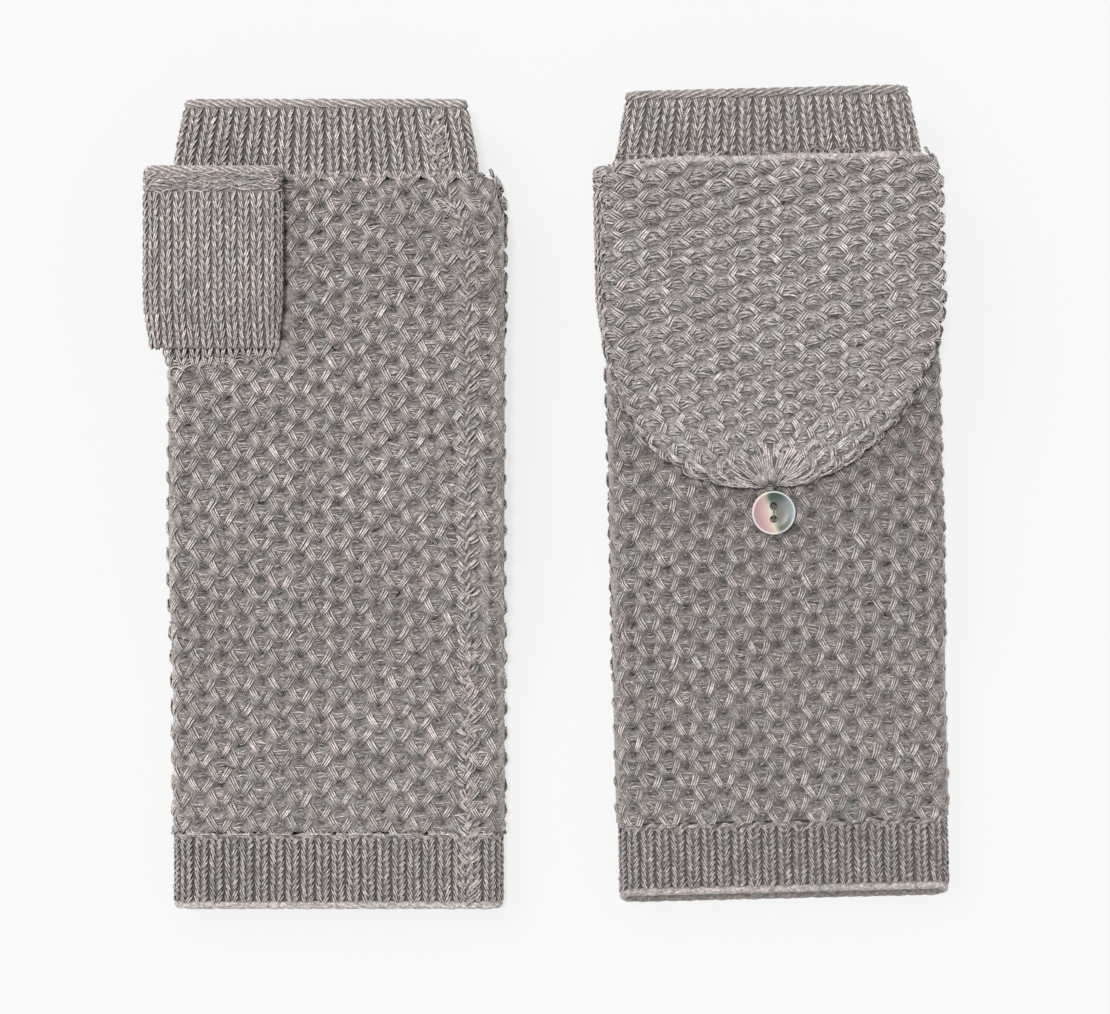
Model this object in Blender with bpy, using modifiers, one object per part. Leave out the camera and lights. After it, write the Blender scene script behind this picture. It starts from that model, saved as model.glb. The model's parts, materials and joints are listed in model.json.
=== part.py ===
"""A pair of convertible flip-top mittens lying flat, one palm up and one back up.

Each mitten is a knitted hand tube with a wrist rib and a finger rib, an open-ended thumb, and a
hood that flips from the back of the hand over the fingers. Every height below is measured in a
mitten that lies back up on the floor. The left mitten is the same piece turned over, palm up.
All sizes are in millimetres, and become metres in world().
"""

import math

import bmesh
import bpy
from mathutils import Vector

MM = 0.001

# The lie of the pair
STACK_HEIGHT = 28.9
MITTENS = (
    {"side": "left", "palm_up": True, "centre": (-62.0, -2.17), "turn": 0.0,
     "thumb_edge": -54.4, "rib_shift": -3.0},
    {"side": "right", "palm_up": False, "centre": (65.1, 1.23), "turn": math.radians(1.4),
     "thumb_edge": -50.6, "rib_shift": 0.0},
)

# The hand tube and its bands
HALF_LENGTH = 117.2
HAND_HALF_WIDTH = 49.0
FINGER_END_HALF_WIDTH = 46.4
TUBE_DEPTH = 10.4
BACK_TOP = 19.1
PALM_LIFT = 8.7
LIFTS_ALONG = (-60.0, -12.0)
NARROWS_ALONG = (80.0, 94.0)
END_ROUND = 5.0
END_STEPS = 7
TUBE_WALL = 2.6
RIB_WALL = 2.2
RIB_INSET = 0.4
GAP = 0.3
EDGE_BEAD = 1.1
LINK_BEAD = 0.9
TUBE_FROM, TUBE_TO = -94.7, 93.9
WRIST_RIB_FROM, WRIST_RIB_TO = -114.7, -97.1
FINGER_RIB_FROM, FINGER_RIB_TO = 96.1, 114.7
WRIST_RIB_HALF_WIDTH = 48.2
FINGER_RIB_HALF_WIDTH = (44.2, 41.2)

# How the palm layer of the mitten that lies back up rises from the floor over its thumb
OVER_THUMB_ALONG = (8.0, 40.0)
OVER_THUMB_ACROSS = (-8.0, 16.0)
FINGER_END_ALONG = (62.0, 86.0)

# The side seam, on the palm near the little finger
SEAM_AT = 38.0
SEAM_DRIFT = 8.0
SEAM_DRIFTS_ALONG = (70.0, 112.0)
SEAM_BEAD = 1.5

# The thumb
THUMB_WIDTH = 39.5
THUMB_DEPTH = 8.4
THUMB_WALL = 1.8
THUMB_FROM, THUMB_TO = 45.8, 94.6
THUMB_SEAM_AT = 44.5
THUMB_BEAD = 1.0
THUMB_HOLE = (47.8, 57.0)
THUMB_HOLE_FROM = -43.0
THUMB_HOLE_MARGIN = 4.0
THUMB_SEAM_HEIGHT = PALM_LIFT - GAP - THUMB_BEAD

# The hood
HINGE_AT = 93.1
HINGE_BEAD = 1.1
HINGE_HEIGHT = BACK_TOP + GAP + HINGE_BEAD
HOOD_FLOOR = BACK_TOP + 0.4
HOOD_WALL = 2.2
HOOD_HALF_WIDTH = 49.0
HOOD_STRAIGHT_TO = 56.0
HOOD_TIP = (-2.3, 1.8)
HOOD_FULLNESS = {-1: 1.8, 1: 1.6}
MOUTH_AT = 94.6
MOUTH_BEAD = 1.0
TIP_KNOT_RADIUS = 1.0

# The button on the back of the hand
BUTTON_AT = (-1.7, -5.3)
BUTTON_RADIUS = 6.35
BUTTON_THICKNESS = 1.8
BUTTON_RIM = 1.0
BUTTON_EDGE = 0.5
BUTTON_DISH = 0.35
BUTTON_HOLE = 1.0
BUTTON_HOLE_OFFSET = 1.85
SHANK_RADIUS = 1.0
SHANK_HEIGHT = 2.9
THREAD_RADIUS = 0.45
THREAD_CORNER = 0.6
LOOP_RADIUS = 2.1

# How far a cutter runs past the piece it cuts
PAST = 2.0
SMOOTH_UNDER = math.radians(40.0)

# Base colour and roughness of each yarn or shell
WOOL = (0.268, 0.241, 0.230)
WOOL_RIB = (0.252, 0.227, 0.216)
WOOL_HOOD = (0.318, 0.287, 0.277)
WOOL_THUMB = (0.298, 0.266, 0.255)
THREAD = (0.30, 0.28, 0.26)
PEARL = (0.42, 0.41, 0.36)


def smooth(value, span):
    """0 before the span of two numbers, 1 after it, and an S-curve between."""
    start, end = span
    t = min(1.0, max(0.0, (value - start) / (end - start)))
    return t * t * (3.0 - 2.0 * t)


def spread(start, end, count):
    """count evenly spaced numbers from start to end."""
    return [start + (end - start) * i / (count - 1) for i in range(count)]


# ---- Where the cloth lies ----


def lift(y):
    """How far the fold beside the fingers has raised the tube at y: 0 at the wrist, 1 at the hand."""
    return smooth(y, LIFTS_ALONG)


def back_height(mitten, y):
    """Outer face of the back layer."""
    if mitten["palm_up"]:
        return BACK_TOP + (STACK_HEIGHT - BACK_TOP) * (1.0 - lift(y))
    return BACK_TOP - PALM_LIFT * (1.0 - lift(y))


def palm_height(mitten, u, y):
    """Outer face of the palm layer, which sags to the floor beside the thumb."""
    if mitten["palm_up"]:
        return back_height(mitten, y) - TUBE_DEPTH
    over_thumb = smooth(y, OVER_THUMB_ALONG) * (1.0 - smooth(u, OVER_THUMB_ACROSS))
    return PALM_LIFT * max(over_thumb, smooth(y, FINGER_END_ALONG))


def hand_half_width(y):
    return HAND_HALF_WIDTH + (FINGER_END_HALF_WIDTH - HAND_HALF_WIDTH) * smooth(y, NARROWS_ALONG)


def rib_half_width(y):
    base, top = FINGER_RIB_HALF_WIDTH
    return base + (top - base) * smooth(y, (FINGER_RIB_FROM, HALF_LENGTH))


def seam_at(y):
    """Where the side seam lies across the palm: it drifts inwards towards the fingers."""
    return SEAM_AT - SEAM_DRIFT * smooth(y, SEAM_DRIFTS_ALONG)


def world(mitten, u, y, z):
    """World place, in metres, of a point given across, along and above its mitten."""
    turn = mitten["turn"]
    x = mitten["centre"][0] + u * math.cos(turn) - y * math.sin(turn)
    along = mitten["centre"][1] + u * math.sin(turn) + y * math.cos(turn)
    height = STACK_HEIGHT - z if mitten["palm_up"] else z
    return Vector((x, along, height)) * MM


def flat_section(mitten, y, half_width, inset, palm_points=2, shift=0.0):
    """(u, z) points round a flattened tube at y, from one lip of the seam slot to the other."""
    slot = SEAM_BEAD + GAP
    flat = half_width - END_ROUND
    back = back_height(mitten, y) - inset

    def palm(u):
        return palm_height(mitten, u, y) + inset

    def rounded_end(sign):
        low = palm(sign * flat)
        middle, half = (low + back) / 2.0, (back - low) / 2.0
        angles = spread(-math.pi / 2.0, math.pi / 2.0, END_STEPS)
        return [
            (sign * (flat + (END_ROUND - inset) * math.cos(a)), middle + half * math.sin(a))
            for a in angles
        ]

    points = [(seam_at(y) + slot, palm(seam_at(y) + slot))]
    points += [(u + shift, z) for u, z in rounded_end(1)]
    points += [(shift, back)]
    points += [(u + shift, z) for u, z in reversed(rounded_end(-1))]
    inner = spread(-flat + shift, seam_at(y) - slot, palm_points)[1:]
    return points + [(u, palm(u)) for u in inner]


# ---- Making objects ----


def material(name, colour, roughness):
    """Wool, thread or shell: none of them is a metal."""
    made = bpy.data.materials.new(name)
    made.use_nodes = True
    shader = made.node_tree.nodes["Principled BSDF"]
    shader.inputs["Base Color"].default_value = (*colour, 1.0)
    shader.inputs["Roughness"].default_value = roughness
    shader.inputs["Metallic"].default_value = 0.0
    return made


def collection(name):
    made = bpy.data.collections.new(name)
    bpy.context.scene.collection.children.link(made)
    return made


def clear_scene():
    for obj in list(bpy.data.objects):
        bpy.data.objects.remove(obj, do_unlink=True)


def body_empty(mitten, name, u, y, z):
    """An empty on a body's joint axis, which carries the body's pieces."""
    empty = bpy.data.objects.new(f"{mitten['side']}_{name}_body", None)
    empty.location = world(mitten, u, y, z)
    empty.empty_display_size = 0.01
    MITTEN_PIECES.objects.link(empty)
    return empty


def place(obj, empty, finish):
    """Puts a piece whose data is relative to its body's empty into the model."""
    obj.parent = empty
    colour, roughness = finish
    obj.data.materials.append(material(obj.name, colour, roughness))
    MITTEN_PIECES.objects.link(obj)
    return obj


def mesh_object(name, bm, empty, finish):
    data = bpy.data.meshes.new(name)
    bm.to_mesh(data)
    bm.free()
    data.shade_smooth()
    data.set_sharp_from_angle(angle=SMOOTH_UNDER)
    return place(bpy.data.objects.new(name, data), empty, finish)


def bead(mitten, name, points, radius, empty, finish, cyclic=False):
    """A round yarn bead along (u, y, z) points."""
    data = bpy.data.curves.new(name, "CURVE")
    data.dimensions = "3D"
    data.bevel_depth = radius * MM
    data.bevel_resolution = 2
    data.use_fill_caps = True
    spline = data.splines.new("POLY")
    spline.points.add(len(points) - 1)
    for slot, point in zip(spline.points, points):
        slot.co = (*(world(mitten, *point) - empty.location), 1.0)
    spline.use_cyclic_u = cyclic
    return place(bpy.data.objects.new(name, data), empty, finish)


def open_shell(mitten, name, rows, wall, empty, finish):
    """Cloth of one wall thickness, grown inwards from rows of (u, y, z) points round a tube."""
    bm = bmesh.new()
    grid = [[bm.verts.new(world(mitten, *p) - empty.location) for p in row] for row in rows]
    for near, far in zip(grid, grid[1:]):
        for a, b, c, d in zip(near, near[1:], far[1:], far):
            bm.faces.new((a, b, c, d))
    bm.normal_update()
    middle = sum((v.co for v in grid[0]), Vector()) / len(grid[0])
    outward = sum(f.normal.dot(f.calc_center_median() - middle) for f in bm.faces[: len(rows[0]) - 1])
    if outward < 0.0:
        bmesh.ops.reverse_faces(bm, faces=bm.faces[:])
    obj = mesh_object(name, bm, empty, finish)
    solidify = obj.modifiers.new("Wall", "SOLIDIFY")
    solidify.thickness = wall * MM
    solidify.offset = -1.0
    solidify.use_even_offset = True
    return obj


def loft_mesh(mitten, rows, origin):
    """A closed solid through rows of (u, y, z) points, capped at both ends."""
    bm = bmesh.new()
    rings = [[bm.verts.new(world(mitten, *p) - origin) for p in row] for row in rows]
    for near, far in zip(rings, rings[1:]):
        for i, a in enumerate(near):
            j = (i + 1) % len(near)
            bm.faces.new((a, near[j], far[j], far[i]))
    bm.faces.new(rings[0])
    bm.faces.new(rings[-1])
    bmesh.ops.recalc_face_normals(bm, faces=bm.faces[:])
    return bm


def cut(mitten, obj, rows, name):
    """Takes the solid through rows out of a piece."""
    data = bpy.data.meshes.new(f"{obj.name}_{name}_cutter")
    bm = loft_mesh(mitten, rows, obj.parent.location)
    bm.to_mesh(data)
    bm.free()
    cutter = bpy.data.objects.new(data.name, data)
    cutter.parent = obj.parent
    cutter.hide_render = True
    cutter.display_type = "WIRE"
    CUTTERS.objects.link(cutter)
    boolean = obj.modifiers.new(name, "BOOLEAN")
    boolean.operation = "DIFFERENCE"
    boolean.solver = "EXACT"
    boolean.object = cutter


def prism_rows(outline, low, high):
    """The two rows of an upright prism over a (u, y) outline."""
    return [[(u, y, low) for u, y in outline], [(u, y, high) for u, y in outline]]


def box_rows(u_range, y_range, low, high):
    (u0, u1), (y0, y1) = u_range, y_range
    return prism_rows([(u0, y0), (u1, y0), (u1, y1), (u0, y1)], low, high)


# ---- The hand ----


def hand_rows():
    """Places along the tube, closer together where the cloth bends."""
    rows = [TUBE_FROM, -78.0] + spread(-62.0, 8.0, 8) + spread(16.0, 40.0, 4)
    return rows + [52.0, 62.0, 70.0, 78.0, 86.0, TUBE_TO]


def make_hand_tube(mitten, hand):
    rows = []
    for y in hand_rows():
        section = flat_section(mitten, y, hand_half_width(y), 0.0, palm_points=8)
        rows.append([(u, y, z) for u, z in section])
    tube = open_shell(mitten, f"{mitten['side']}_hand_tube", rows, TUBE_WALL, hand, (WOOL, 0.95))
    low = palm_height(mitten, THUMB_HOLE_FROM, THUMB_HOLE[0])
    across = (THUMB_HOLE_FROM, thumb_hole_end(mitten))
    hole = box_rows(across, THUMB_HOLE, low - PAST, low + TUBE_WALL + PAST)
    cut(mitten, tube, hole, "Thumb_hole")


def make_band(mitten, name, rows, hand):
    """A ribbed band through rows of (y, half width)."""
    shift = mitten["rib_shift"] if rows[0][0] > 0.0 else 0.0
    points = []
    for y, half_width in rows:
        section = flat_section(mitten, y, half_width, RIB_INSET, shift=shift)
        points.append([(u, y, z) for u, z in section])
    open_shell(mitten, f"{mitten['side']}_{name}", points, RIB_WALL, hand, (WOOL_RIB, 0.95))


def make_row(mitten, name, y, half_width, radius, hand, shift=0.0):
    """A row of yarn round the tube: a linking row or a cast-on or bind-off edge."""
    section = flat_section(mitten, y, half_width, RIB_INSET + radius, shift=shift)
    points = [(u, y, z) for u, z in section]
    bead(mitten, f"{mitten['side']}_{name}", points, radius, hand, (WOOL, 0.95))


def make_hand(mitten, hand):
    make_hand_tube(mitten, hand)
    wrist_rows = [(y, WRIST_RIB_HALF_WIDTH) for y in (WRIST_RIB_FROM, WRIST_RIB_TO)]
    make_band(mitten, "wrist_rib", wrist_rows, hand)
    finger_rows = [(y, rib_half_width(y)) for y in spread(FINGER_RIB_FROM, FINGER_RIB_TO, 3)]
    make_band(mitten, "finger_rib", finger_rows, hand)
    shift = mitten["rib_shift"]
    cast_on = -HALF_LENGTH + EDGE_BEAD
    make_row(mitten, "wrist_cast_on", cast_on, WRIST_RIB_HALF_WIDTH, EDGE_BEAD, hand)
    link = (WRIST_RIB_TO + TUBE_FROM) / 2.0
    make_row(mitten, "wrist_link_row", link, WRIST_RIB_HALF_WIDTH + 0.4, LINK_BEAD, hand)
    link = (FINGER_RIB_FROM + TUBE_TO) / 2.0
    link_width = (FINGER_END_HALF_WIDTH + FINGER_RIB_HALF_WIDTH[0]) / 2.0
    link_bead = (FINGER_RIB_FROM - TUBE_TO) / 2.0 - GAP
    make_row(mitten, "finger_link_row", link, link_width, link_bead, hand, shift / 2.0)
    bind_off = HALF_LENGTH - EDGE_BEAD
    bind_off_width = rib_half_width(bind_off)
    make_row(mitten, "finger_bind_off", bind_off, bind_off_width, EDGE_BEAD, hand, shift)
    make_side_seam(mitten, hand)


def make_side_seam(mitten, hand):
    ends = HALF_LENGTH - GAP
    along = [-ends] + hand_rows() + [FINGER_RIB_FROM, 105.0, ends]
    points = [(seam_at(y), y, palm_height(mitten, seam_at(y), y) + SEAM_BEAD) for y in along]
    bead(mitten, f"{mitten['side']}_side_seam", points, SEAM_BEAD, hand, (WOOL, 0.95))


# ---- The thumb ----


def thumb_hole_end(mitten):
    return mitten["thumb_edge"] + THUMB_WIDTH - THUMB_HOLE_MARGIN


def thumb_section(mitten, y, inset):
    """(u, y, z) points round the flattened thumb."""
    low, high = inset, THUMB_DEPTH - inset
    round_end = THUMB_DEPTH / 2.0
    left = mitten["thumb_edge"] + round_end
    right = mitten["thumb_edge"] + THUMB_WIDTH - round_end
    middle, half = (low + high) / 2.0, (high - low) / 2.0
    points = []
    for centre, start in ((right, -90.0), (left, 90.0)):
        for angle in spread(start, start + 180.0, END_STEPS):
            a = math.radians(angle)
            reach = (round_end - inset) * math.cos(a)
            points.append((centre + reach, y, middle + half * math.sin(a)))
    return points


def make_thumb(mitten, thumb, hand):
    side = mitten["side"]
    rows = [thumb_section(mitten, y, 0.0) for y in spread(THUMB_FROM, THUMB_TO, 3)]
    bm = loft_mesh(mitten, rows, thumb.location)
    tube = mesh_object(f"{side}_thumb_tube", bm, thumb, (WOOL_THUMB, 0.95))
    pocket = [thumb_section(mitten, y, THUMB_WALL) for y in (THUMB_HOLE[0], THUMB_TO + PAST)]
    cut(mitten, tube, pocket, "Pocket")
    reach = (mitten["thumb_edge"] + THUMB_HOLE_MARGIN + 1.0, thumb_hole_end(mitten))
    mouth = box_rows(reach, THUMB_HOLE, THUMB_DEPTH / 2.0, THUMB_DEPTH + PAST)
    cut(mitten, tube, mouth, "Way_to_hand")
    rim = thumb_section(mitten, THUMB_TO + GAP + THUMB_BEAD, THUMB_BEAD)
    bead(mitten, f"{side}_thumb_rim", rim, THUMB_BEAD, thumb, (WOOL_THUMB, 0.95), cyclic=True)
    ends = (THUMB_HOLE_FROM - THUMB_BEAD, thumb_hole_end(mitten) + THUMB_BEAD)
    seam = [(u, THUMB_SEAM_AT, THUMB_SEAM_HEIGHT) for u in ends]
    bead(mitten, f"{side}_thumb_seam", seam, THUMB_BEAD, hand, (WOOL, 0.95))


# ---- The hood ----


def hood_outline(inset, straight_top):
    """(u, y) outline of the hood: straight sides that round in to an off-centre tip."""
    tip_u, tip_y = HOOD_TIP
    depth = HOOD_STRAIGHT_TO - tip_y - inset
    points = []
    for side in (-1, 1):
        power = 2.0 / HOOD_FULLNESS[side]
        reach = HOOD_HALF_WIDTH - inset - side * tip_u
        curve = []
        for angle in spread(0.0, math.pi / 2.0, 9):
            u = tip_u + side * reach * math.cos(angle) ** power
            curve.append((u, HOOD_STRAIGHT_TO - depth * math.sin(angle) ** power))
        edge = [(side * (HOOD_HALF_WIDTH - inset), straight_top)]
        points += edge + curve if side < 0 else curve[-2::-1] + edge
    return points


def make_hood(mitten, hood, palm_layer, hand):
    side = mitten["side"]
    finish = (WOOL_HOOD, 0.95)
    panel_edge = HINGE_AT - HINGE_BEAD - GAP
    outer = hood_outline(0.0, panel_edge)
    bm = loft_mesh(mitten, prism_rows(outer, HOOD_FLOOR, STACK_HEIGHT), hood.location)
    back = mesh_object(f"{side}_hood_back", bm, hood, finish)
    inner = hood_outline(HOOD_WALL, panel_edge + PAST)
    cut(mitten, back, prism_rows(inner, HOOD_FLOOR + HOOD_WALL, STACK_HEIGHT + PAST), "Pouch")

    panel = hood_outline(HOOD_WALL + GAP, MOUTH_AT)
    rows = prism_rows(panel, STACK_HEIGHT - HOOD_WALL, STACK_HEIGHT)
    bm = loft_mesh(mitten, rows, palm_layer.location)
    mesh_object(f"{side}_hood_palm", bm, palm_layer, finish)
    reach = HOOD_HALF_WIDTH - HOOD_WALL - GAP
    y = MOUTH_AT + GAP + MOUTH_BEAD
    edge = [(u, y, STACK_HEIGHT - MOUTH_BEAD) for u in (-reach, reach)]
    bead(mitten, f"{side}_hood_mouth_edge", edge, MOUTH_BEAD, palm_layer, finish)

    reach = FINGER_END_HALF_WIDTH - 2.0
    hinge = [(u, HINGE_AT, HINGE_HEIGHT) for u in (-reach, reach)]
    bead(mitten, f"{side}_hood_hinge_seam", hinge, HINGE_BEAD, hand, finish)
    make_tip(mitten, hood, finish)


def make_tip(mitten, hood, finish):
    """The drawn-up knot at the hood's tip and the yarn loop that goes round the button's shank."""
    side = mitten["side"]
    radius = TIP_KNOT_RADIUS
    height = HOOD_FLOOR + radius
    tip_u, tip_y = HOOD_TIP
    centre = world(mitten, tip_u, tip_y - GAP - radius, height) - hood.location
    bm = bmesh.new()
    bmesh.ops.create_uvsphere(bm, u_segments=12, v_segments=8, radius=radius * MM)
    bmesh.ops.translate(bm, verts=bm.verts[:], vec=centre)
    mesh_object(f"{side}_hood_tip_gather", bm, hood, finish)

    u, y = BUTTON_AT
    start = tip_y - 2.0 * (GAP + radius) - THREAD_RADIUS
    legs = [(u + LOOP_RADIUS * s, start, height) for s in (1, -1)]
    turn = spread(0.0, -math.pi, 9)
    bend = [(u + LOOP_RADIUS * math.cos(a), y + LOOP_RADIUS * math.sin(a), height) for a in turn]
    loop = [legs[0]] + bend + [legs[1]]
    bead(mitten, f"{side}_button_loop", loop, THREAD_RADIUS, hood, (THREAD, 0.9))


# ---- The button ----


def make_button(mitten, tilt, hand):
    side = mitten["side"]
    u, y = BUTTON_AT
    under = BACK_TOP + GAP + SHANK_HEIGHT + GAP
    top = under + BUTTON_THICKNESS
    profile = [
        (0.0, top - BUTTON_DISH), (BUTTON_RADIUS - 2.0 * BUTTON_RIM, top - BUTTON_DISH),
        (BUTTON_RADIUS - BUTTON_RIM, top), (BUTTON_RADIUS - BUTTON_EDGE, top),
        (BUTTON_RADIUS, top - BUTTON_EDGE), (BUTTON_RADIUS, under + BUTTON_EDGE),
        (BUTTON_RADIUS - BUTTON_EDGE, under), (0.0, under),
    ]
    bm = bmesh.new()
    for radius, z in profile:
        height = world(mitten, u, y, z).z - tilt.location.z
        bm.verts.new((radius * MM, 0.0, height))
    bm.verts.ensure_lookup_table()
    for a, b in zip(bm.verts[:-1], bm.verts[1:]):
        bm.edges.new((a, b))
    disc = mesh_object(f"{side}_button", bm, tilt, (PEARL, 0.25))
    screw = disc.modifiers.new("Turn", "SCREW")
    screw.steps = 32
    screw.render_steps = 32
    screw.use_merge_vertices = True
    screw.merge_threshold = 0.00001
    screw.use_normal_flip = mitten["palm_up"]
    for number, along in enumerate((-BUTTON_HOLE_OFFSET, BUTTON_HOLE_OFFSET)):
        ring = [
            (u + BUTTON_HOLE * math.cos(a), y + along + BUTTON_HOLE * math.sin(a))
            for a in spread(0.0, 2.0 * math.pi, 13)[:-1]
        ]
        cut(mitten, disc, prism_rows(ring, under - PAST, top + PAST), f"Hole_{number + 1}")

    low, high = under - 0.1, top + 0.2 + THREAD_RADIUS
    hole, corner = BUTTON_HOLE_OFFSET, THREAD_CORNER
    path = [(-hole, low), (-hole, high - 1.5 * corner), (-hole + corner, high - 0.1), (0.0, high)]
    path += [(-along, z) for along, z in path[-2::-1]]
    saddle = [(u, y + along, z) for along, z in path]
    bead(mitten, f"{side}_button_thread", saddle, THREAD_RADIUS, tilt, (THREAD, 0.9))
    shank = [(u, y, BACK_TOP + GAP), (u, y, BACK_TOP + GAP + SHANK_HEIGHT - GAP)]
    bead(mitten, f"{side}_button_shank", shank, SHANK_RADIUS, hand, (THREAD, 0.9))


def make_mitten(mitten):
    hand = body_empty(mitten, "hand", 0.0, 0.0, BACK_TOP)
    hood = body_empty(mitten, "hood", 0.0, HINGE_AT, HINGE_HEIGHT)
    tip_u, tip_y = HOOD_TIP
    fold = STACK_HEIGHT - HOOD_WALL / 2.0
    palm_layer = body_empty(mitten, "hood_palm", tip_u, tip_y + HOOD_WALL, fold)
    thumb = body_empty(mitten, "thumb", 0.0, THUMB_SEAM_AT, THUMB_SEAM_HEIGHT)
    tilt = body_empty(mitten, "button", *BUTTON_AT, BACK_TOP + GAP + SHANK_HEIGHT)
    bpy.context.view_layer.update()
    make_hand(mitten, hand)
    make_thumb(mitten, thumb, hand)
    make_hood(mitten, hood, palm_layer, hand)
    make_button(mitten, tilt, hand)


clear_scene()
MITTEN_PIECES = collection("Convertible mittens")
CUTTERS = collection("Cutters")
for mitten_data in MITTENS:
    make_mitten(mitten_data)
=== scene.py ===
"""Looks of a pair of convertible flip-top mittens in heathered wool.

Every stitch is real yarn: bundles of strands swept along the draped cloth, over a closed base
cloth of the wall's thickness. Places are worked out in the local frame of a mitten that lies back
up, in millimetres: u across, y towards the fingers, z up. The left mitten is the same one turned
over, palm up.
"""

import json
import math

import bmesh
import bpy
import numpy as np
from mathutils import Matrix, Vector


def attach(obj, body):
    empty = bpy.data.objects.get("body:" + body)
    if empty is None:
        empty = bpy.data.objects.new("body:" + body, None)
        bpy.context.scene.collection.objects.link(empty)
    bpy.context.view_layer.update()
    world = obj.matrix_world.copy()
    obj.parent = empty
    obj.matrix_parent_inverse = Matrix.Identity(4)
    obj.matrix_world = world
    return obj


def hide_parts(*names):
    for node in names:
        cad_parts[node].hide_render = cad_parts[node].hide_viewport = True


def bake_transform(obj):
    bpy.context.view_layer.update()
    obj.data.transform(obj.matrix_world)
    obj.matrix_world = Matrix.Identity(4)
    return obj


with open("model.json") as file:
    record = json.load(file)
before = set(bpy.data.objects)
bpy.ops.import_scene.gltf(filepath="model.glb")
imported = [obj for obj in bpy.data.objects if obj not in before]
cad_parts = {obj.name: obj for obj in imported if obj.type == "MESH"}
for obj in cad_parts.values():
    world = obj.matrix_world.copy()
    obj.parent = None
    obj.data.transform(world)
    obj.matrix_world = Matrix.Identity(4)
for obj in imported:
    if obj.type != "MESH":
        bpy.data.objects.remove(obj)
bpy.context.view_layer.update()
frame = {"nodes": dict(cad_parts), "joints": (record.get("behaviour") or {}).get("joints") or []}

MM = 0.001

# The camera looks straight down at the pair.
CAMERA_AT = (0.00105, -0.00249, 0.905)
CAMERA_LENS = 100.0
CAMERA_SENSOR = 36.0

# The drape of the CAD model, in mm
STACK = 28.9
BACK_TOP = 19.1
PALM_LIFT = 8.7
TUBE_DEPTH = 10.4
END_ROUND = 5.0
HALF_LENGTH = 117.2
WRIST_HALF = 48.2
HINGE_LOCAL = (93.1, 20.5)
HOOD_LOW, HOOD_HIGH = 19.5, 28.9
HOOD_TIP = (-2.3, 1.8)
HOOD_STRAIGHT = 56.0
HOOD_HALF = 49.0
HOOD_FULL = (2.45, 1.85)
HOOD_ROUND, HOOD_QUARTER = 7.0, 8.6
MOUTH_Y = 94.6
THUMB_WIDTH, THUMB_DEPTH = 39.5, 8.4
THUMB_HOLE_Y = (47.8, 57.0)
BUTTON_AT = (-1.7, -5.3)
BUTTON_LOW, BUTTON_HIGH = 22.6, 24.4
BUTTON_RADIUS = 6.35
BUTTON_HOLES = 1.85
FLOOR_CLEAR = 0.12

# How far the inner face of the base cloth lies below the draped surface
TUBE_INNER, RIB_INNER, THUMB_INNER, HOOD_INNER = -2.6, -2.2, -1.8, -2.0

# Developed widths: the flat part and the rounded side of each half face
BODY_FLAT, BODY_SIDE = 44.0, 8.2
WRIST_FLAT, FINGER_FLAT, RIB_SIDE = 43.2, 39.2, 7.6
THUMB_FLAT, THUMB_SIDE = THUMB_WIDTH / 2.0 - THUMB_DEPTH / 2.0, 6.6

# Stitch lattices: ((cell width at the wrist, at the fingers), cell height), and a place in each
BODY_CELL = {"left": ((11.7, 10.2), 7.42), "right": ((10.7, 10.15), 7.62)}
BODY_PHASE = {1: (-0.7, -27.7), -1: (0.7, -27.7)}
TUBE_Y = (-94.7, 93.9)
HOOD_CELL = ((12.85, 12.85), 5.52)
HOOD_PHASE = (-2.3, 24.0)
HOOD_DRAWN_FROM = 56.0

# Columns and row heights of the plain knitting
WRIST_COLUMNS, WRIST_ROW = 23, 1.68
FINGER_COLUMNS, FINGER_ROW = 20, 2.2
THUMB_COLUMNS, THUMB_ROW = 12, 2.31
RIB_INSET = 0.4

# The ends of each V's left and right arm, as ((x outwards, y), (x outwards, y))
BODY_ARMS = {
    "left": (((0.40, 0.05), (3.20, 4.75)), ((0.60, -0.05), (3.15, 3.85))),
    "right": (((0.50, 0.05), (3.25, 4.25)), ((0.75, -0.10), (2.45, 4.45))),
}
HOOD_ARMS = (((1.15, -0.05), (3.85, -3.35)), ((1.25, -0.05), (4.30, -2.95)))
WRIST_LEGS = (((0.32, -1.30), (1.52, 1.20)), ((0.36, -1.10), (1.76, 1.05)))
FINGER_LEGS = (((0.36, -1.65), (1.62, 1.50)), ((0.36, -1.65), (1.62, 1.50)))
THUMB_LEG = ((0.28, -1.75), (1.26, 1.55))
SEAM_LEG = ((0.2, -1.2), (2.9, 1.5))

# Heights along a strand, over the draped surface
ARM_HEIGHTS = np.array([-0.70, 0.18, 0.20, -0.70])
FILL_HEIGHTS = np.array([-0.90, -0.36, -0.36, -0.90])
RIB_HEIGHTS = np.array([-0.20, 0.26, 0.12, -0.60])
THUMB_HEIGHTS = np.array([-0.25, 0.20, 0.10, -0.62])
SEAM_HEIGHTS = np.array([-0.5, 0.42, 0.48, -0.2, -0.8])
GATHER_HEIGHTS = np.array([-0.8, 0.0, 0.2, 0.0, -0.8])

# Linear base colours, and how light the ribs and the inner faces are
WOOL_BODY = {"left": (0.430, 0.381, 0.363), "right": (0.380, 0.337, 0.321)}
WOOL_HOOD = (0.440, 0.394, 0.382)
WOOL_RIB = (0.325, 0.289, 0.276)
WOOL_THUMB = (0.402, 0.356, 0.341)
THREAD = (0.34, 0.32, 0.30)
WRIST_TONE = {"left": 1.05, "right": 0.94}
FINGER_TONE = 1.33
INNER_TONE = 0.62
FLOOR_GREY, FLOOR_GLOW = 0.19, 0.708

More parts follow.
